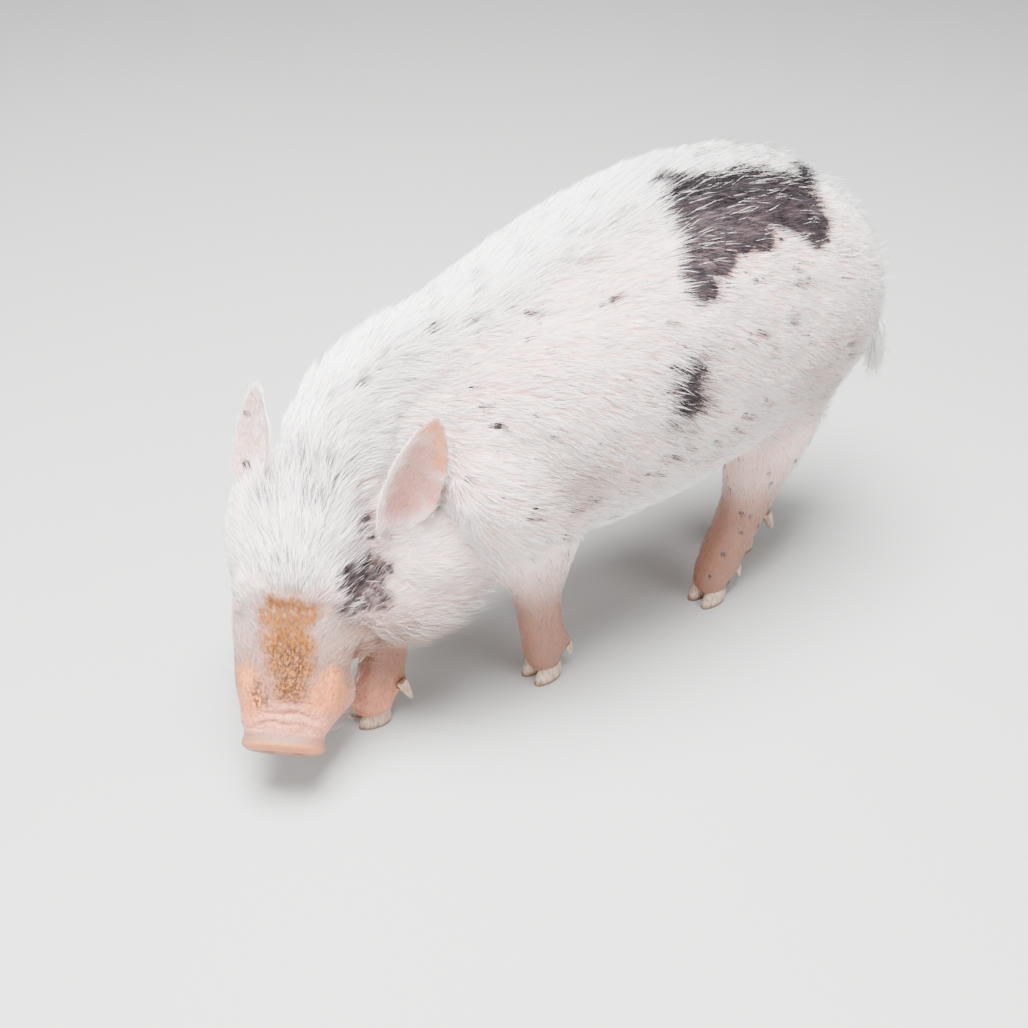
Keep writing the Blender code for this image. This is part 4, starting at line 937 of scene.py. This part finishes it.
LASH_RING = 0.0058                  # from the middle of the eye's opening
near_lids = np.zeros(len(places))
for centre, look in eye_places:
    off = np.linalg.norm(places - np.asarray(centre + look * EYE_RADIUS), axis=1)
    near_lids = near_lids + bell((off - LASH_RING) / 0.0011)
near_lids = near_lids * on_head * (head_rows[:, 2] > 0.013)
long_hairs("lashes", near_lids, 150, 33, 0.0075, 36, 0.00030, 0.35, (0.955, 0.999))

lips = bell((head_rows[:, 0] - 0.030) / 0.022) * on_head * (head_rows[:, 2] < 0.004)
long_hairs("whiskers", lips * disc_free, 170, 35, 0.014, 34, 0.00020, 0.45)

rump = ramp(places[:, 1], HOME.y + 0.09, HOME.y + 0.17) * on_torso * ramp(places[:, 2], 0.24, 0.30)
long_hairs("rump_hairs", rump, 240, 37, 0.022, 30, 0.00024, 0.40)

THROAT = HOME + Vector((0.012, -0.165, 0.100))
throat = bell(np.linalg.norm(places - np.asarray(THROAT), axis=1) / 0.028)
throat = throat * in_region(regions, "head", "neck")[:, 0]
long_hairs("throat_hairs", throat, 900, 39, 0.018, 32, 0.00028, 0.25)


# Floor. A plain pale sheet of matt board under the animal, wide enough to fill the picture,
# there for the shadow only.
def make_floor():
    sheet = bmesh.new()
    bmesh.ops.create_grid(sheet, x_segments=8, y_segments=8, size=6.0)
    floor = new_piece("floor", sheet)
    made, tree, shader = new_material("pale_floor")
    place = add_node(tree, "TexCoord").outputs["Object"]
    cloud = noise_of(tree, place, 2.0, 2.0).outputs[0]
    colour = mixed(tree, cloud, (0.42, 0.42, 0.41, 1), (0.46, 0.46, 0.45, 1))
    tree.links.new(colour, shader.inputs["Base Color"])
    shader.inputs["Roughness"].default_value = 0.75
    floor.data.materials.append(made)


make_floor()


# Light. Soft studio light: a wide lamp overhead, weaker ones before the head and behind the left flank,
# and a pale room around them.
def add_lamp(name, place, aim, size, power):
    lamp = bpy.data.lights.new(name, "AREA")
    lamp.size = size
    lamp.energy = power
    holder = bpy.data.objects.new(name, lamp)
    holder.location = place
    holder.rotation_euler = (Vector(aim) - Vector(place)).to_track_quat("-Z", "Y").to_euler()
    bpy.context.scene.collection.objects.link(holder)


add_lamp("overhead", (0.15, -0.30, 1.7), (0, 0, 0.1), 0.9, 205)
add_lamp("left_fill", (0.3, -1.8, 0.9), (0, 0, 0.15), 1.2, 34)
add_lamp("right_fill", (1.7, 0.7, 0.9), (0, 0, 0.15), 1.2, 26)
room = bpy.data.worlds.new("room")
room.use_nodes = True
room.node_tree.nodes["Background"].inputs["Color"].default_value = (0.95, 0.97, 1.0, 1)
room.node_tree.nodes["Background"].inputs["Strength"].default_value = 0.50
bpy.context.scene.world = room

# Camera. Where the photographer stood: over the animal's left shoulder, looking down at it
# through a lens of normal length.
CAMERA_PLACE = HOME + Vector((0.5547, -0.4710, 0.6644))
CAMERA_RIGHT = Vector((0.5683, 0.8227, 0.0130)).normalized()
CAMERA_AHEAD = Vector((-0.6489, 0.4578, -0.6077)).normalized()
CAMERA_LENS = 46.12

lens = bpy.data.cameras.new("camera")
lens.lens = CAMERA_LENS
lens.sensor_width = 36
lens.clip_start = 0.01
camera = bpy.data.objects.new("camera", lens)
camera_up = CAMERA_RIGHT.cross(CAMERA_AHEAD)
camera_turn = Matrix((CAMERA_RIGHT, camera_up, -CAMERA_AHEAD)).transposed()
camera.matrix_world = Matrix.Translation(CAMERA_PLACE) @ camera_turn.to_4x4()
bpy.context.scene.collection.objects.link(camera)
bpy.context.scene.camera = camera
